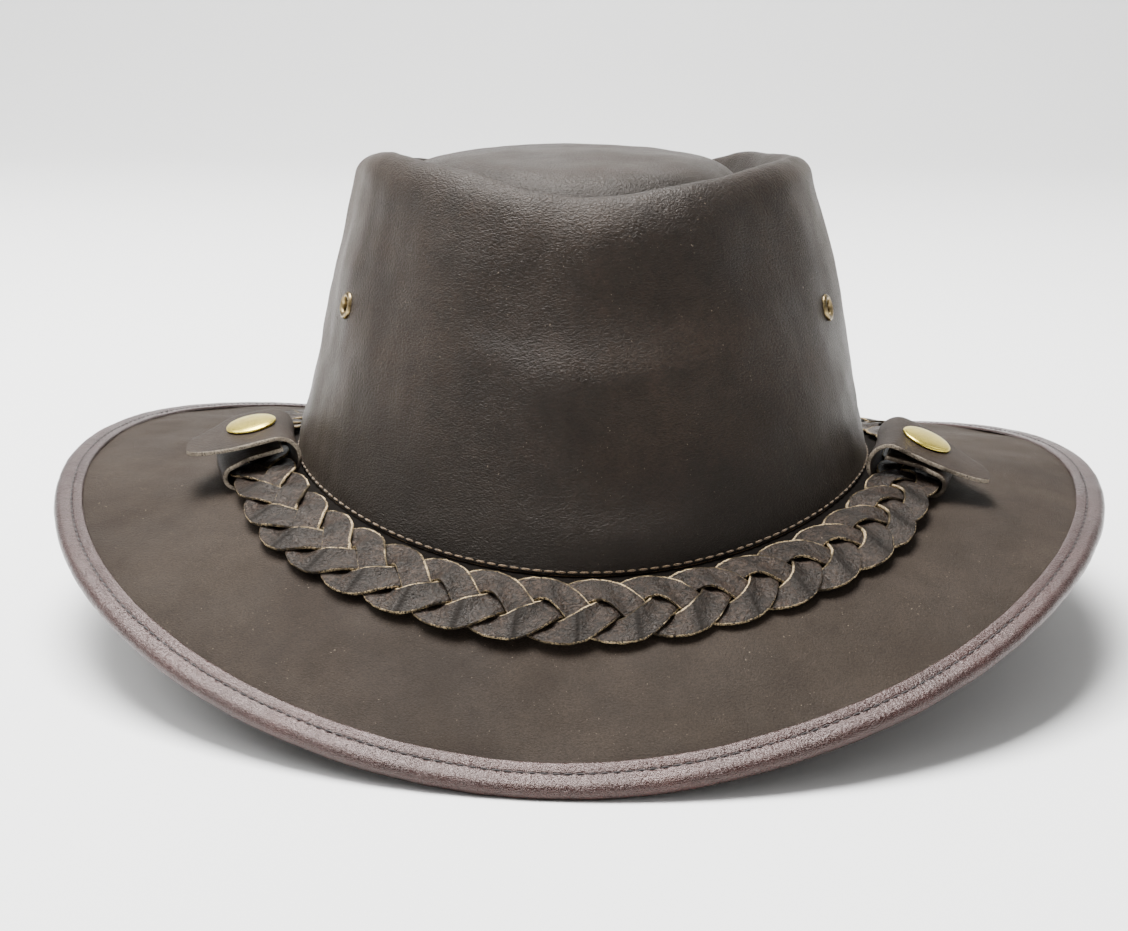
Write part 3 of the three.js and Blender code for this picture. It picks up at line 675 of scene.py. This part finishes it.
def seat(point, normal):
    """Moves points from a +Z axis at the origin to a place and its normal."""
    turn = np.array(Vector((0, 0, 1)).rotation_difference(Vector(normal)).to_matrix())
    return lambda points: points @ turn.T + point


def eyelet_seat(azimuth):
    azimuth = float(azimuth)
    share = float(wall_share(azimuth, EYELET_HEIGHT - wall_point(azimuth, 0.0)[2]))
    return seat(wall_point(azimuth, share), wall_normal(azimuth, share))


def cut_round_hole(crown, azimuth):
    """The hole that an eyelet's barrel passes through."""
    reach = 5 * CROWN_LEATHER
    profile = [(BARREL_RADIUS, -reach), (BARREL_RADIUS, reach)]
    points = eyelet_seat(azimuth)(lathe_points(profile, HOLE_SIDES))
    ring = np.arange(HOLE_SIDES)[None]
    faces = [grid_faces(HOLE_SIDES, 2, loop=False), ring * 2, (ring * 2 + 1)[:, ::-1]]
    punch = piece("punch", points, faces, CROWN_SKIN)
    cut = crown.modifiers.new("hole", "BOOLEAN")
    cut.object = punch
    cut.operation = "DIFFERENCE"
    cut.solver = "EXACT"
    bpy.context.view_layer.update()
    graph = bpy.context.evaluated_depsgraph_get()
    shaped = bpy.data.meshes.new_from_object(crown.evaluated_get(graph))
    crown.modifiers.clear()
    crown.data = shaped
    bpy.data.objects.remove(punch)


# Brim

BRIM_COLUMNS = 600
BRIM_ROWS = 50
COLLAR_ROWS = 4
BRIM_WAVES = table("depth size seed", (0.4, 46, 11), (0.08, 13, 12))

# Shares of the brim's width: where its outer part starts, and between which its waves are full.
BRIM_START = 0.012
WAVES_FROM = 0.2
WAVES_TO = 0.86

# Share of the collar's height where it leaves the brim's fold, how far painted shade reaches over
# the brim from the seam outwards, and the share of that which is fully shaded.
COLLAR_START = 0.08
SEAM_SHADE_REACH = 9
SEAM_SHADE_FULL = 0.6


def make_brim():
    azimuth = np.arange(BRIM_COLUMNS)[:, None] / BRIM_COLUMNS * TURN
    share = np.linspace(BRIM_START, 1, BRIM_ROWS)[None]
    out = share * brim_reach(azimuth)
    upper = on_brim(azimuth, out)
    under = on_brim(azimuth, out, -BRIM_LEATHER)
    calm = smooth(0, WAVES_FROM, share) * smooth(1, WAVES_TO, share)
    lift = vectors(0, 0, uneven(upper, BRIM_WAVES) * calm)
    upper, under = upper + lift, under + lift
    height = COLLAR_HEIGHT * np.linspace(COLLAR_START, 1, COLLAR_ROWS)[None]
    level = wall_share(azimuth, height)
    face = CROWN_LEATHER + GAP
    inside = wall_normal(azimuth, level)
    front = wall_point(azimuth, level) - inside * face
    back = wall_point(azimuth, level) - inside * (face + BRIM_LEATHER)
    section = np.concatenate([under[:, ::-1], back, front[:, ::-1], upper], axis=1)
    # Painted shade on the brim beside the crown's foot, under the plait and crown, and all over the collar
    # inside the crown.
    near = smooth(SEAM_SHADE_REACH, SEAM_SHADE_FULL * SEAM_SHADE_REACH, out)
    shade = np.concatenate([0 * near, np.ones((BRIM_COLUMNS, 2 * COLLAR_ROWS)), near], axis=1)
    faces = [grid_faces(*section.shape[:2])]
    brim = piece("brim_leather", section.reshape(-1, 3), faces, BRIM_SKIN, {"shade": shade.ravel()})
    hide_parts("brim")


# Binding and its seam

STITCHES = 328
STITCH_COLUMNS = 6
STITCH_LENGTH = 2.2
STITCH_DEPTH = 0.5
THREAD = 0.55

# Upper face of the binding, from its inner edge to the top of the roll: place as a share of
# the binding's reach, and height above or below the roll's as a length.
LEDGE = table(
    "out rise",
    (1.0, -1.25),
    (0.99, -0.75),
    (0.965, -0.52),
    (0.9, -0.42),
    (0.75, -0.4),
    (0.6, -0.42),
    (0.545, -0.47),
    (0.52, -0.58),
    (0.5, -0.64),
    (0.48, -0.56),
    (0.455, -0.42),
    (0.38, -0.32),
    (0.22, -0.16),
    (0.08, -0.03),
)
ROLL_STEPS = 13
BINDING_WAVES = table("depth size seed", (0.02, 4, 21), (0.05, 12, 22))

# Inside the fold: the gap to the brim's faces and to its edge, and the slant of the strip's cuts.
BINDING_HUG = 0.12
FOLD_ROOM = 0.15
CUT_SLANT = 0.4

# The row of the ledge that is sewn, how deep each stitch puckers the leather and how many rows
# that takes in.
LEDGE_STITCH = 8
PUCKER = 0.07
PUCKER_ROWS = 2.2

# Painted shade in the sewn groove and low on the roll's underside, which fades in over these lifts and
# places.
STITCH_GROOVE_SHADE = (0.3, 0.95, 0.3)
ROLL_UNDERSIDE_SHADE = 0.8
UNDERSIDE_SHADE_LIFTS = (0.2, -0.75)
UNDERSIDE_SHADE_OUTS = (-1.5, 0)


def binding_section(reach):
    """Places and heights of one side of the binding."""
    outs = np.array([-row["out"] * reach for row in LEDGE])
    lifts = np.array([EDGE_OUTER + row["rise"] for row in LEDGE])
    return outs, lifts


def make_binding():
    columns = STITCHES * STITCH_COLUMNS
    azimuth = np.pi + np.arange(columns)[:, None] / columns * TURN
    turns = np.linspace(np.pi / 2, -np.pi / 2, ROLL_STEPS)
    upper_out, upper_lift = binding_section(BINDING_ABOVE)
    lower_out, lower_lift = binding_section(BINDING_BELOW)
    hug = BRIM_LEATHER / 2 + BINDING_HUG
    inside = [CUT_SLANT - BINDING_BELOW, FOLD_ROOM, FOLD_ROOM, CUT_SLANT - BINDING_ABOVE]
    outs = np.concatenate([upper_out, EDGE_OUTER * np.cos(turns), lower_out[::-1], inside])
    lifts = np.concatenate([upper_lift, EDGE_OUTER * np.sin(turns), -lower_lift[::-1],
                            [-hug, -hug, hug, hug]])
    rows, count = len(outs), len(LEDGE)
    near = np.exp(-((np.arange(count) - LEDGE_STITCH) / PUCKER_ROWS) ** 2)
    beside = np.zeros(rows)
    beside[:count] = near
    beside[-4 - count:-4] = -near[::-1]
    stitch = np.cos(TURN * np.arange(columns)[:, None] / STITCH_COLUMNS)
    pucker = PUCKER * stitch * beside[None]
    skin = np.zeros(rows)
    skin[:count + ROLL_STEPS + count] = 1
    wrinkle = uneven(edge_point(azimuth, outs[None], lifts[None]), BINDING_WAVES) * skin
    away_out, away_lift = -np.gradient(lifts), np.gradient(outs)
    size = np.hypot(away_out, away_lift)
    points = edge_point(azimuth, outs + wrinkle * away_out / size,
                        lifts + pucker + wrinkle * away_lift / size)
    along = lengths_along(edge_point(azimuth[:, 0], 0, 0))
    # Painted shade on the underside of the roll and in the stitch groove.
    painted_shade = ROLL_UNDERSIDE_SHADE * smooth(*UNDERSIDE_SHADE_LIFTS, lifts / EDGE_OUTER) * smooth(*UNDERSIDE_SHADE_OUTS, outs)
    painted_shade[LEDGE_STITCH - 1:LEDGE_STITCH + 2] = STITCH_GROOVE_SHADE
    everywhere = np.ones((columns, rows))
    marks = {"along": (everywhere * along[:, None]).ravel(), "across": (everywhere * outs).ravel(),
             "shade": (everywhere * painted_shade).ravel()}
    faces = [grid_faces(columns, rows)]
    binding = piece("binding_strip", points.reshape(-1, 3), faces, BINDING_SKIN, marks)
    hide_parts("brim_binding")
    make_stitches("binding_seam", STITCHES, STITCH_LENGTH, DARK_THREAD, THREAD, [
        lambda turn, lift: edge_point(turn, -BINDING_ABOVE * 0.5, EDGE_OUTER - STITCH_DEPTH + lift),
        lambda turn, lift: edge_point(turn, -BINDING_BELOW * 0.5, -EDGE_OUTER + STITCH_DEPTH - lift),
    ])


# Steps along a stitch and sides of its thread, the part of its arch that is made, and how far
# it rises and is sunk as shares of its thickness.
STITCH_STEPS = 7
THREAD_SIDES = 6
STITCH_ARCH = (0.05, 0.95)
STITCH_RISE = 0.6
STITCH_SUNK = 0.45


def make_stitches(name, count, length, material, thick, lines):
    """Rows of sewn stitches, each a short thread that dips into the leather at both ends.
    A line gives places at azimuths and a height over the leather's face."""
    steps, sides = STITCH_STEPS, THREAD_SIDES
    ring = np.arange(sides) / sides * TURN
    arch = np.sin(np.pi * np.linspace(*STITCH_ARCH, steps))
    radius = thick / 2 * (0.5 + 0.5 * arch)[None, :, None, None]
    rows = []
    for line in lines:
        start = np.arange(count)[:, None] / count * TURN
        pitch = np.linalg.norm(line(start, 0.0) - line(start + TURN / count, 0.0), axis=-1)
        turn = start + TURN / count * (0.5 + np.linspace(-0.5, 0.5, steps)[None] * length / pitch)
        path = line(turn, thick * (STITCH_RISE * arch - STITCH_SUNK)[None])
        up = unit(line(turn, 1.0) - line(turn, 0.0))
        across = unit(np.cross(np.gradient(path, axis=1), up))
        round_path = across[:, :, None] * np.cos(ring)[:, None] + up[:, :, None] * np.sin(ring)[:, None]
        rows.append((path[:, :, None] + round_path * radius).reshape(-1, 3))
    one = capped(steps, sides)
    starts = [k * steps * sides for k in range(count * len(lines))]
    quads = np.concatenate([one[0] + start for start in starts])
    ends = np.concatenate([end + start for start in starts for end in one[1:]])
    seam = piece(name, np.concatenate(rows), [quads, ends], material)


# Plait

STRANDS = 3
STRAND_STEPS = 44
STRIP_WIDTH = 8.4
STRIP_THICKNESS = 1.1
PLAIT_SWING = 7.7
PLAIT_RISE = 0.8
PLAIT_HOLLOW = -0.2
PLAIT_FOLD = 0.5
PLAIT_FOLD_REACH = 2.5
PLAIT_TILT = 0.06
PLAIT_SEAT = 0.15
BAND_SAMPLES = 1441

# The raw edges are paler in front: how much cleaner they are at the back, and how far before
# the keepers' middle that begins.
BACK_EDGE_CLEAN = 0.3
BACK_SPREAD = 0.1


def at_keeper(azimuth):
    from_keeper = np.abs(from_front(azimuth) - KEEPER_AZIMUTH)
    half = KEEPER_WIDTH / 2 / SEAM_HALF_LENGTH
    return 1 - smooth(half, half + KEEPER_SPREAD, from_keeper)


def behind_keepers(azimuth):
    return smooth(KEEPER_AZIMUTH - BACK_SPREAD, KEEPER_AZIMUTH, from_front(azimuth))


def plait_share(azimuth):
    return 1 + (PLAIT_SQUEEZE - 1) * at_keeper(azimuth)


def plait_press(azimuth):
    """The plait is pressed flatter in the keepers and on round the back."""
    return 1 + (PLAIT_PRESS - 1) * np.maximum(at_keeper(azimuth), behind_keepers(azimuth))


def band_out(azimuth):
    return around("band", azimuth) + BAND_HALF_WIDTH * plait_share(azimuth)


def band_azimuths(count):
    """Azimuths at equal steps along the band's middle line, and the band's length."""
    fine = np.linspace(0, TURN, BAND_SAMPLES)
    lengths = lengths_along(on_brim(fine, band_out(fine)))
    return np.interp(np.arange(count) / count * lengths[-1], lengths, fine), lengths[-1]


PLAIT_PITCH = band_azimuths(1)[1] / PLAIT_TURNS


def strip_places(phase, across, up):
    """Side and rise, from the plait's middle, of points of a strip's section, where across
    runs over its width from -1 to 1 and up over its thickness."""
    side = PLAIT_SWING * np.sin(phase)
    rise = -PLAIT_RISE * np.sin(2 * phase) - PLAIT_HOLLOW * np.sin(4 * phase)
    lean = np.arctan(PLAIT_SWING * np.cos(phase) * TURN / PLAIT_PITCH)
    x = across * STRIP_WIDTH / np.cos(lean) / 2
    fold = PLAIT_FOLD * np.tanh(x / PLAIT_FOLD_REACH) + PLAIT_TILT * x
    return side + x, rise - np.cos(3 * phase) * fold + up * STRIP_THICKNESS / 2


PLAIT_PHASES = np.radians(np.arange(0, 360, 5))
PLAIT_HEIGHT = max(np.abs(strip_places(PLAIT_PHASES, x, y)[1]).max() for x in (-1, 1) for y in (-1, 1))


def band_lift(azimuth):
    """Height of the plait's middle over the brim: raised by the strap that passes under it."""
    strap = KEEPER_LEATHER + GAP + KEEPER_SLACK
    return PLAIT_SEAT + PLAIT_HEIGHT * plait_press(azimuth) + at_keeper(azimuth) * strap


# Half of a strip's section, on the side away from the crown: across as a share of its half
# width, up as a share of its half thickness, and how raw the leather is there.
STRIP_HALF = table(
    "across up raw",
    (0.0, 1.0, 0),
    (0.4, 1.0, 0),
    (0.7, 0.96, 0),
    (0.85, 0.92, 0),
    (0.94, 0.84, 0.2),
    (0.985, 0.62, 0.55),
    (1.0, 0.1, 0.5),
)

# The edge towards the crown is raw a little way on to the strip's face too.
INNER_RAW_ACROSS = (0.8, 0.87, 0.96)
INNER_RAW = (0, 0.42, 1)

# Rows of the section below this height stand on the strip's side, and are lower under it.
SIDE_UP = 0.2
SIDE_DROP = 0.3


def strip_section():
    right = [(row["across"], row["up"], row["raw"]) for row in STRIP_HALF]
    under = [(x, -y if y > SIDE_UP else -y - SIDE_DROP, raw) for x, y, raw in reversed(right)]
    half = right + under
    other = [(-x, y, np.interp(x, INNER_RAW_ACROSS, INNER_RAW)) for x, y, raw in reversed(half[1:-1])]
    return np.array(half + other).T


# Painted shade on the leaves where they turn under the others and fold, by the strip's phase in degrees.
LEAF_SHADES = table(
    "phase span dark",
    (118, 14, 0.55),
    (140, 40, 0.45),
    (304, 15, 0.6),
)

# How ragged the raw edges are, as a share of the strip's half width.
RAGGED = 0.035
RAGGED_STEP = 0.8
RAGGED_SIZE = 3
RAGGED_SEED = 40


def make_strand(number):
    stations = PLAIT_TURNS * STRAND_STEPS
    azimuth = band_azimuths(stations)[0][:, None]
    phase = (TURN * (np.arange(stations) / STRAND_STEPS + number / STRANDS))[:, None]
    across, up, raw = (row[None] for row in strip_section())
    stretch = np.stack([np.arange(stations) * RAGGED_STEP] * 3, 1)
    ragged = 1 + RAGGED * ripple(stretch, RAGGED_SIZE, RAGGED_SEED + number)[:, None] * raw
    side, rise = strip_places(phase, across * ragged, up)
    points = on_brim(azimuth, band_out(azimuth) + side * plait_share(azimuth),
                     band_lift(azimuth) + rise * plait_press(azimuth))
    turned = np.mod(np.degrees(phase), 360)
    # Painted shade where each leaf turns under the others and folds.
    dark = sum(row["dark"] * np.exp(-((turned - row["phase"]) / row["span"]) ** 2)
               for row in LEAF_SHADES)
    clean = 1 - BACK_EDGE_CLEAN * behind_keepers(azimuth)
    marks = {"raw": (raw * clean).ravel(), "shade": (dark * np.ones_like(side)).ravel()}
    faces = [grid_faces(*side.shape)]
    strand = piece(f"plait_strand_{number + 1}", points.reshape(-1, 3), faces, PLAIT_SKIN, marks)
    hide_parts(f"band_strand_{number + 1}")


# Keepers

STRAP_REACH = BAND_HALF_WIDTH * PLAIT_SQUEEZE + BEND_SLACK + KEEPER_LEATHER / 2
STRAP_UNDER = GAP + KEEPER_LEATHER / 2
STRAP_OVER = (GAP + 2 * PLAIT_HALF_HEIGHT * PLAIT_PRESS + KEEPER_LEATHER + 2 * KEEPER_SLACK
              + KEEPER_LEATHER / 2)
BEND_SPANS = 12
KEEPER_STEPS = 120
EASE_ROUNDS = 3

# Tongue of a keeper beyond the plait: reach as a share of its length, and width.
TONGUE = table(
    "reach width",
    (-1.0, 1),
    (-0.7, 0.96),
    (-0.35, 0.83),
    (0, 0.67),
    (0.4, 0.51),
    (0.75, 0.36),
    (0.92, 0.25),
    (0.98, 0.15),
    (1, 0.04),
)

# Half of a strap's section, with the same measures as a strip of the plait.
STRAP_HALF = table(
    "across up raw",
    (0.0, 1.0, 0),
    (0.5, 1.0, 0),
    (0.85, 0.99, 0),
    (0.965, 0.94, 0),
    (0.99, 0.8, 1),
    (1.0, 0.25, 1),
)


def flap_lift(side, out):
    return STRAP_OVER + KEEPER_LEATHER + side["space"] + side["rise"] * (out / STRAP_REACH)


def strap_lift(out):
    """Lift of the strap's start where it lies over the plait."""
    return STRAP_OVER + STRAP_RISE * (KEEPER_FLAT - out / STRAP_REACH) / (KEEPER_FLAT + KEEPER_OVERLAP)


def strap_bend(direction, start, end):
    """A half round bend of the strap beside the plait, from one lift to another."""
    radius = abs(end - start) / 2
    turn = np.pi * np.arange(BEND_SPANS + 1) / BEND_SPANS
    away = STRAP_REACH - radius + radius * np.sin(turn)
    lift = (start + end) / 2 + (start - end) / 2 * np.cos(turn)
    return [(direction * out, up, 1) for out, up in zip(away, lift)]


def keeper_path(side):
    """The strap's middle layer: out from the plait's middle, lift over the brim, and width."""
    tongue = []
    for row in TONGUE:
        out = STRAP_REACH + side["tongue"] * row["reach"]
        tongue.append((out, flap_lift(side, out) + side["tip"] * max(row["reach"], 0) ** 2, row["width"]))
    over = [STRAP_REACH * share for share in (-KEEPER_OVERLAP, KEEPER_FLAT)]
    path = np.array([
        *((out, strap_lift(out), 1) for out in over),
        *strap_bend(1, STRAP_OVER - STRAP_DIP, STRAP_UNDER),
        (0, STRAP_UNDER, 1),
        *strap_bend(-1, STRAP_UNDER, flap_lift(side, -STRAP_REACH / 2)),
        *tongue,
    ], float)
    steps = lengths_along(path[:, :2])
    even = np.linspace(0, steps[-1], KEEPER_STEPS)
    return np.stack([np.interp(even, steps, path[:, k]) for k in range(3)], 1)


def make_keeper(name, side):
    path = keeper_path(side)
    ease = np.array([1, 2, 1]) / 4
    for _ in range(EASE_ROUNDS):
        path[1:-1, :2] = sum(w * path[k:len(path) - 2 + k, :2] for k, w in enumerate(ease))
    along = unit(np.gradient(path[:, :2], axis=0))
    half = [(row["across"], row["up"], row["raw"]) for row in STRAP_HALF]
    section = half + [(x, -y, raw) for x, y, raw in reversed(half)]
    section += [(-x, y, raw) for x, y, raw in reversed(section[1:-1])]
    across, up, raw = (row[None] for row in np.array(section).T)
    azimuth = side["keeper"]
    reach = band_out(azimuth) + path[:, :1]
    per_radian = np.linalg.norm(on_brim(azimuth + STEP, reach) - on_brim(azimuth, reach), axis=-1) / STEP
    width = path[:, 2:]
    skew = np.sign(azimuth) * TONGUE_SKEW * (1 - width)
    turned = azimuth + (across * width - skew) * KEEPER_WIDTH / 2 / per_radian
    thick = KEEPER_LEATHER / 2 * up
    out = band_out(turned) + path[:, :1] - along[:, 1:] * thick
    points = on_brim(turned, out, path[:, 1:2] + along[:, :1] * thick)
    ends = np.zeros((len(path), 1))
    ends[0] = 1
    marks = {"raw": np.maximum(raw, ends).ravel()}
    faces = capped(*points.shape[:2])
    strap = piece(f"keeper_strap_{name}", points.reshape(-1, 3), faces, KEEPER_SKIN, marks)
    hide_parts(f"keeper_{name}")


# Snaps and eyelets

CAP_GAP = 0.05
CAP_SIDES = 64
STUD_SIDES = 32
EYELET_SIDES = 48

# The cap's rolled edge, as shares of its radius and height.
CAP_EDGE = table(
    "radius height",
    (0.9, 0.0),
    (0.965, 0.02),
    (0.992, 0.1),
    (1.0, 0.22),
    (0.99, 0.35),
    (0.965, 0.45),
    (0.93, 0.5),
)

# The cap's dome: its radius and the height of its foot as shares, and the turn where it starts.
DOME_RADIUS = 0.97
DOME_FOOT = 0.38
DOME_START = 0.3
DOME_STEPS = 12

# The stud: a flat foot and a neck, as shares of its radius and height.
STUD = table(
    "radius height",
    (0, 0),
    (0.96, 0),
    (1, 0.1),
    (1, 0.34),
    (0.95, 0.42),
    (0.525, 0.48),
    (0.5, 0.6),
    (0.5, 0.92),
    (0.45, 1),
    (0, 1),
)

# An eyelet's rolled flange, over the crown's outer face, and its flatter flange inside, down
# from the barrel's end.
OUTER_FLANGE = table(
    "radius rise",
    (EYELET_BORE, 0.2),
    (EYELET_BORE + 0.12, 0.65),
    (EYELET_BORE + 0.5, 1.05),
    (3.1, 1.2),
    (3.6, 1.05),
    (EYELET_RADIUS, 0.6),
    (EYELET_RADIUS, 0.25),
    (3.8, 0.12),
    (BARREL_RADIUS, 0.12),
)
INNER_FLANGE = table(
    "radius drop",
    (BARREL_RADIUS, 0),
    (3.3, 0),
    (3.4, 0.2),
    (3.2, 0.4),
    (EYELET_BORE, 0.4),
)


def snap_seat(azimuth, out, lift):
    """The place and normal of a snap on a strap of this lift at each place out."""
    def at(turned, away):
        return on_brim(turned, band_out(turned) + away, lift(away))

    along = at(azimuth + STEP, out) - at(azimuth - STEP, out)
    across = at(azimuth, out + 1) - at(azimuth, out - 1)
    return seat(at(azimuth, out), unit(np.cross(across, along)))


def turned_piece(name, node, profile, place, material, sides):
    """A turned piece whose profile starts and ends on the axis."""
    points = lathe_points(profile[1:-1], sides)
    rows = len(profile) - 2
    poles = np.array([[0, 0, profile[0][1]], [0, 0, profile[-1][1]]])
    near = np.arange(sides) * rows
    far = np.roll(near, -1)
    first = np.full_like(near, len(points))
    faces = [grid_faces(sides, rows, loop=False), np.stack([first, far, near], 1),
             np.stack([first + 1, near + rows - 1, far + rows - 1], 1)]
    made = piece(name, place(np.concatenate([points, poles])), faces, material)
    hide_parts(node)


def cap_profile():
    """A shallow dome with a rolled edge."""
    edge = [(CAP_RADIUS * row["radius"], CAP_HEIGHT * row["height"]) for row in CAP_EDGE]
    turns = np.linspace(DOME_START, np.pi / 2, DOME_STEPS)
    heights = CAP_HEIGHT * (DOME_FOOT + (1 - DOME_FOOT) * np.sin(turns))
    dome = list(zip(CAP_RADIUS * DOME_RADIUS * np.cos(turns), heights))
    return [(0, 0), *edge, *dome[:-1], (0, CAP_HEIGHT)]


def stud_profile():
    return [(STUD_RADIUS * row["radius"], STUD_HEIGHT * row["height"]) for row in STUD]


def eyelet_profile():
    """A rolled flange outside, a barrel and a flatter flange inside."""
    inside = -(CROWN_LEATHER + EYELET_GAP)
    return [*((row["radius"], row["rise"]) for row in OUTER_FLANGE),
            *((row["radius"], inside - row["drop"]) for row in INNER_FLANGE)]


def make_snap(name, side):
    """The cap on a keeper's flap and the stud on the strap under it."""
    over_flap = KEEPER_LEATHER / 2 + CAP_GAP
    cap_place = snap_seat(side["keeper"], side["cap"], lambda out: flap_lift(side, out) + over_flap)
    stud_place = snap_seat(side["keeper"], -STUD_INSET,
                           lambda out: strap_lift(out) + KEEPER_LEATHER / 2 + GAP)
    turned_piece(f"cap_{name}", f"snap_cap_{name}", cap_profile(), cap_place,
                 SNAP_BRASS, CAP_SIDES)
    turned_piece(f"stud_{name}", f"snap_stud_{name}", stud_profile(), stud_place,
                 SNAP_BRASS, STUD_SIDES)


def make_eyelet(name, side):
    profile = eyelet_profile()
    points = eyelet_seat(side["eyelet"])(lathe_points(profile, EYELET_SIDES))
    made = piece(f"eyelet_ring_{name}", points, [grid_faces(EYELET_SIDES, len(profile))], EYELET_BRASS)
    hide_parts(f"eyelet_{name}")


def crown_seam_line(turn, lift):
    return wall_point(turn, CROWN_SEAM) + wall_normal(turn, CROWN_SEAM) * np.asarray(lift)[..., None]


make_crown()
make_brim()
make_binding()
make_stitches("crown_seam", CROWN_STITCHES, CROWN_STITCH_LENGTH, TAN_THREAD, CROWN_THREAD,
              [crown_seam_line])
for strand in range(STRANDS):
    make_strand(strand)
for side_name, side_facts in SIDES.items():
    make_keeper(side_name, side_facts)
    make_snap(side_name, side_facts)
    make_eyelet(side_name, side_facts)

# Studio: a pale floor that curves up behind, and soft lights

FLOOR_HALF = 3.0
FLOOR_BACK = 2.2
FLOOR_BEND = 0.8
FLOOR_BEND_STEPS = 16
FLOOR_TOP = 3.0

# Where each light stands and points, in metres, its size and its power in watts.
LIGHTS = table(
    "name place target size power",
    ("top", (-0.3, 0.25, 1.7), (0, 0, 0.05), (1.1, 0.9), 125),
    ("left", (-1.3, 0, 1.2), (0, 0, 0.08), (0.9, 0.9), 15),
    ("right", (1.6, 0.2, 0.8), (0, 0, 0.08), (0.7, 0.9), 1.5),
)
WORLD_STRENGTH = 0.4


def make_floor():
    bend = np.linspace(0, np.pi / 2, FLOOR_BEND_STEPS)[1:]
    curve = zip(FLOOR_BACK - FLOOR_BEND * (1 - np.sin(bend)), FLOOR_BEND * (1 - np.cos(bend)))
    profile = [(-FLOOR_HALF, 0), (FLOOR_BACK - FLOOR_BEND, 0), *curve, (FLOOR_BACK, FLOOR_TOP)]
    points = [(x, y, z) for x in (-FLOOR_HALF, FLOOR_HALF) for y, z in profile]
    count = len(profile)
    faces = [(k, k + count, k + count + 1, k + 1) for k in range(count - 1)]
    mesh = bpy.data.meshes.new("floor")
    mesh.from_pydata(points, [], faces)
    mesh.shade_smooth()
    surface = Surface("pale_floor", Roughness=0.7, Specular_IOR_Level=0.2)
    cloud = surface.noise(400, 2, 0.5)
    surface.link(surface.mix(cloud, colour(244, 244, 243), colour(250, 250, 249)), "Base Color")
    mesh.materials.append(surface.material)
    floor = bpy.data.objects.new("floor", mesh)
    bpy.context.scene.collection.objects.link(floor)


def area_light(name, place, target, size, power):
    data = bpy.data.lights.new(name, "AREA")
    data.shape = "RECTANGLE"
    data.size, data.size_y = size
    data.energy = power
    light = bpy.data.objects.new(name, data)
    light.location = place
    way = Vector(target) - Vector(place)
    light.rotation_euler = way.to_track_quat("-Z", "Y").to_euler()
    bpy.context.scene.collection.objects.link(light)


def make_studio():
    world = bpy.data.worlds.new("studio")
    world.use_nodes = True
    background = world.node_tree.nodes["Background"].inputs
    background["Color"].default_value = (1, 1, 1, 1)
    background["Strength"].default_value = WORLD_STRENGTH
    bpy.context.scene.world = world
    for light in LIGHTS:
        area_light(**light)


make_floor()
make_studio()
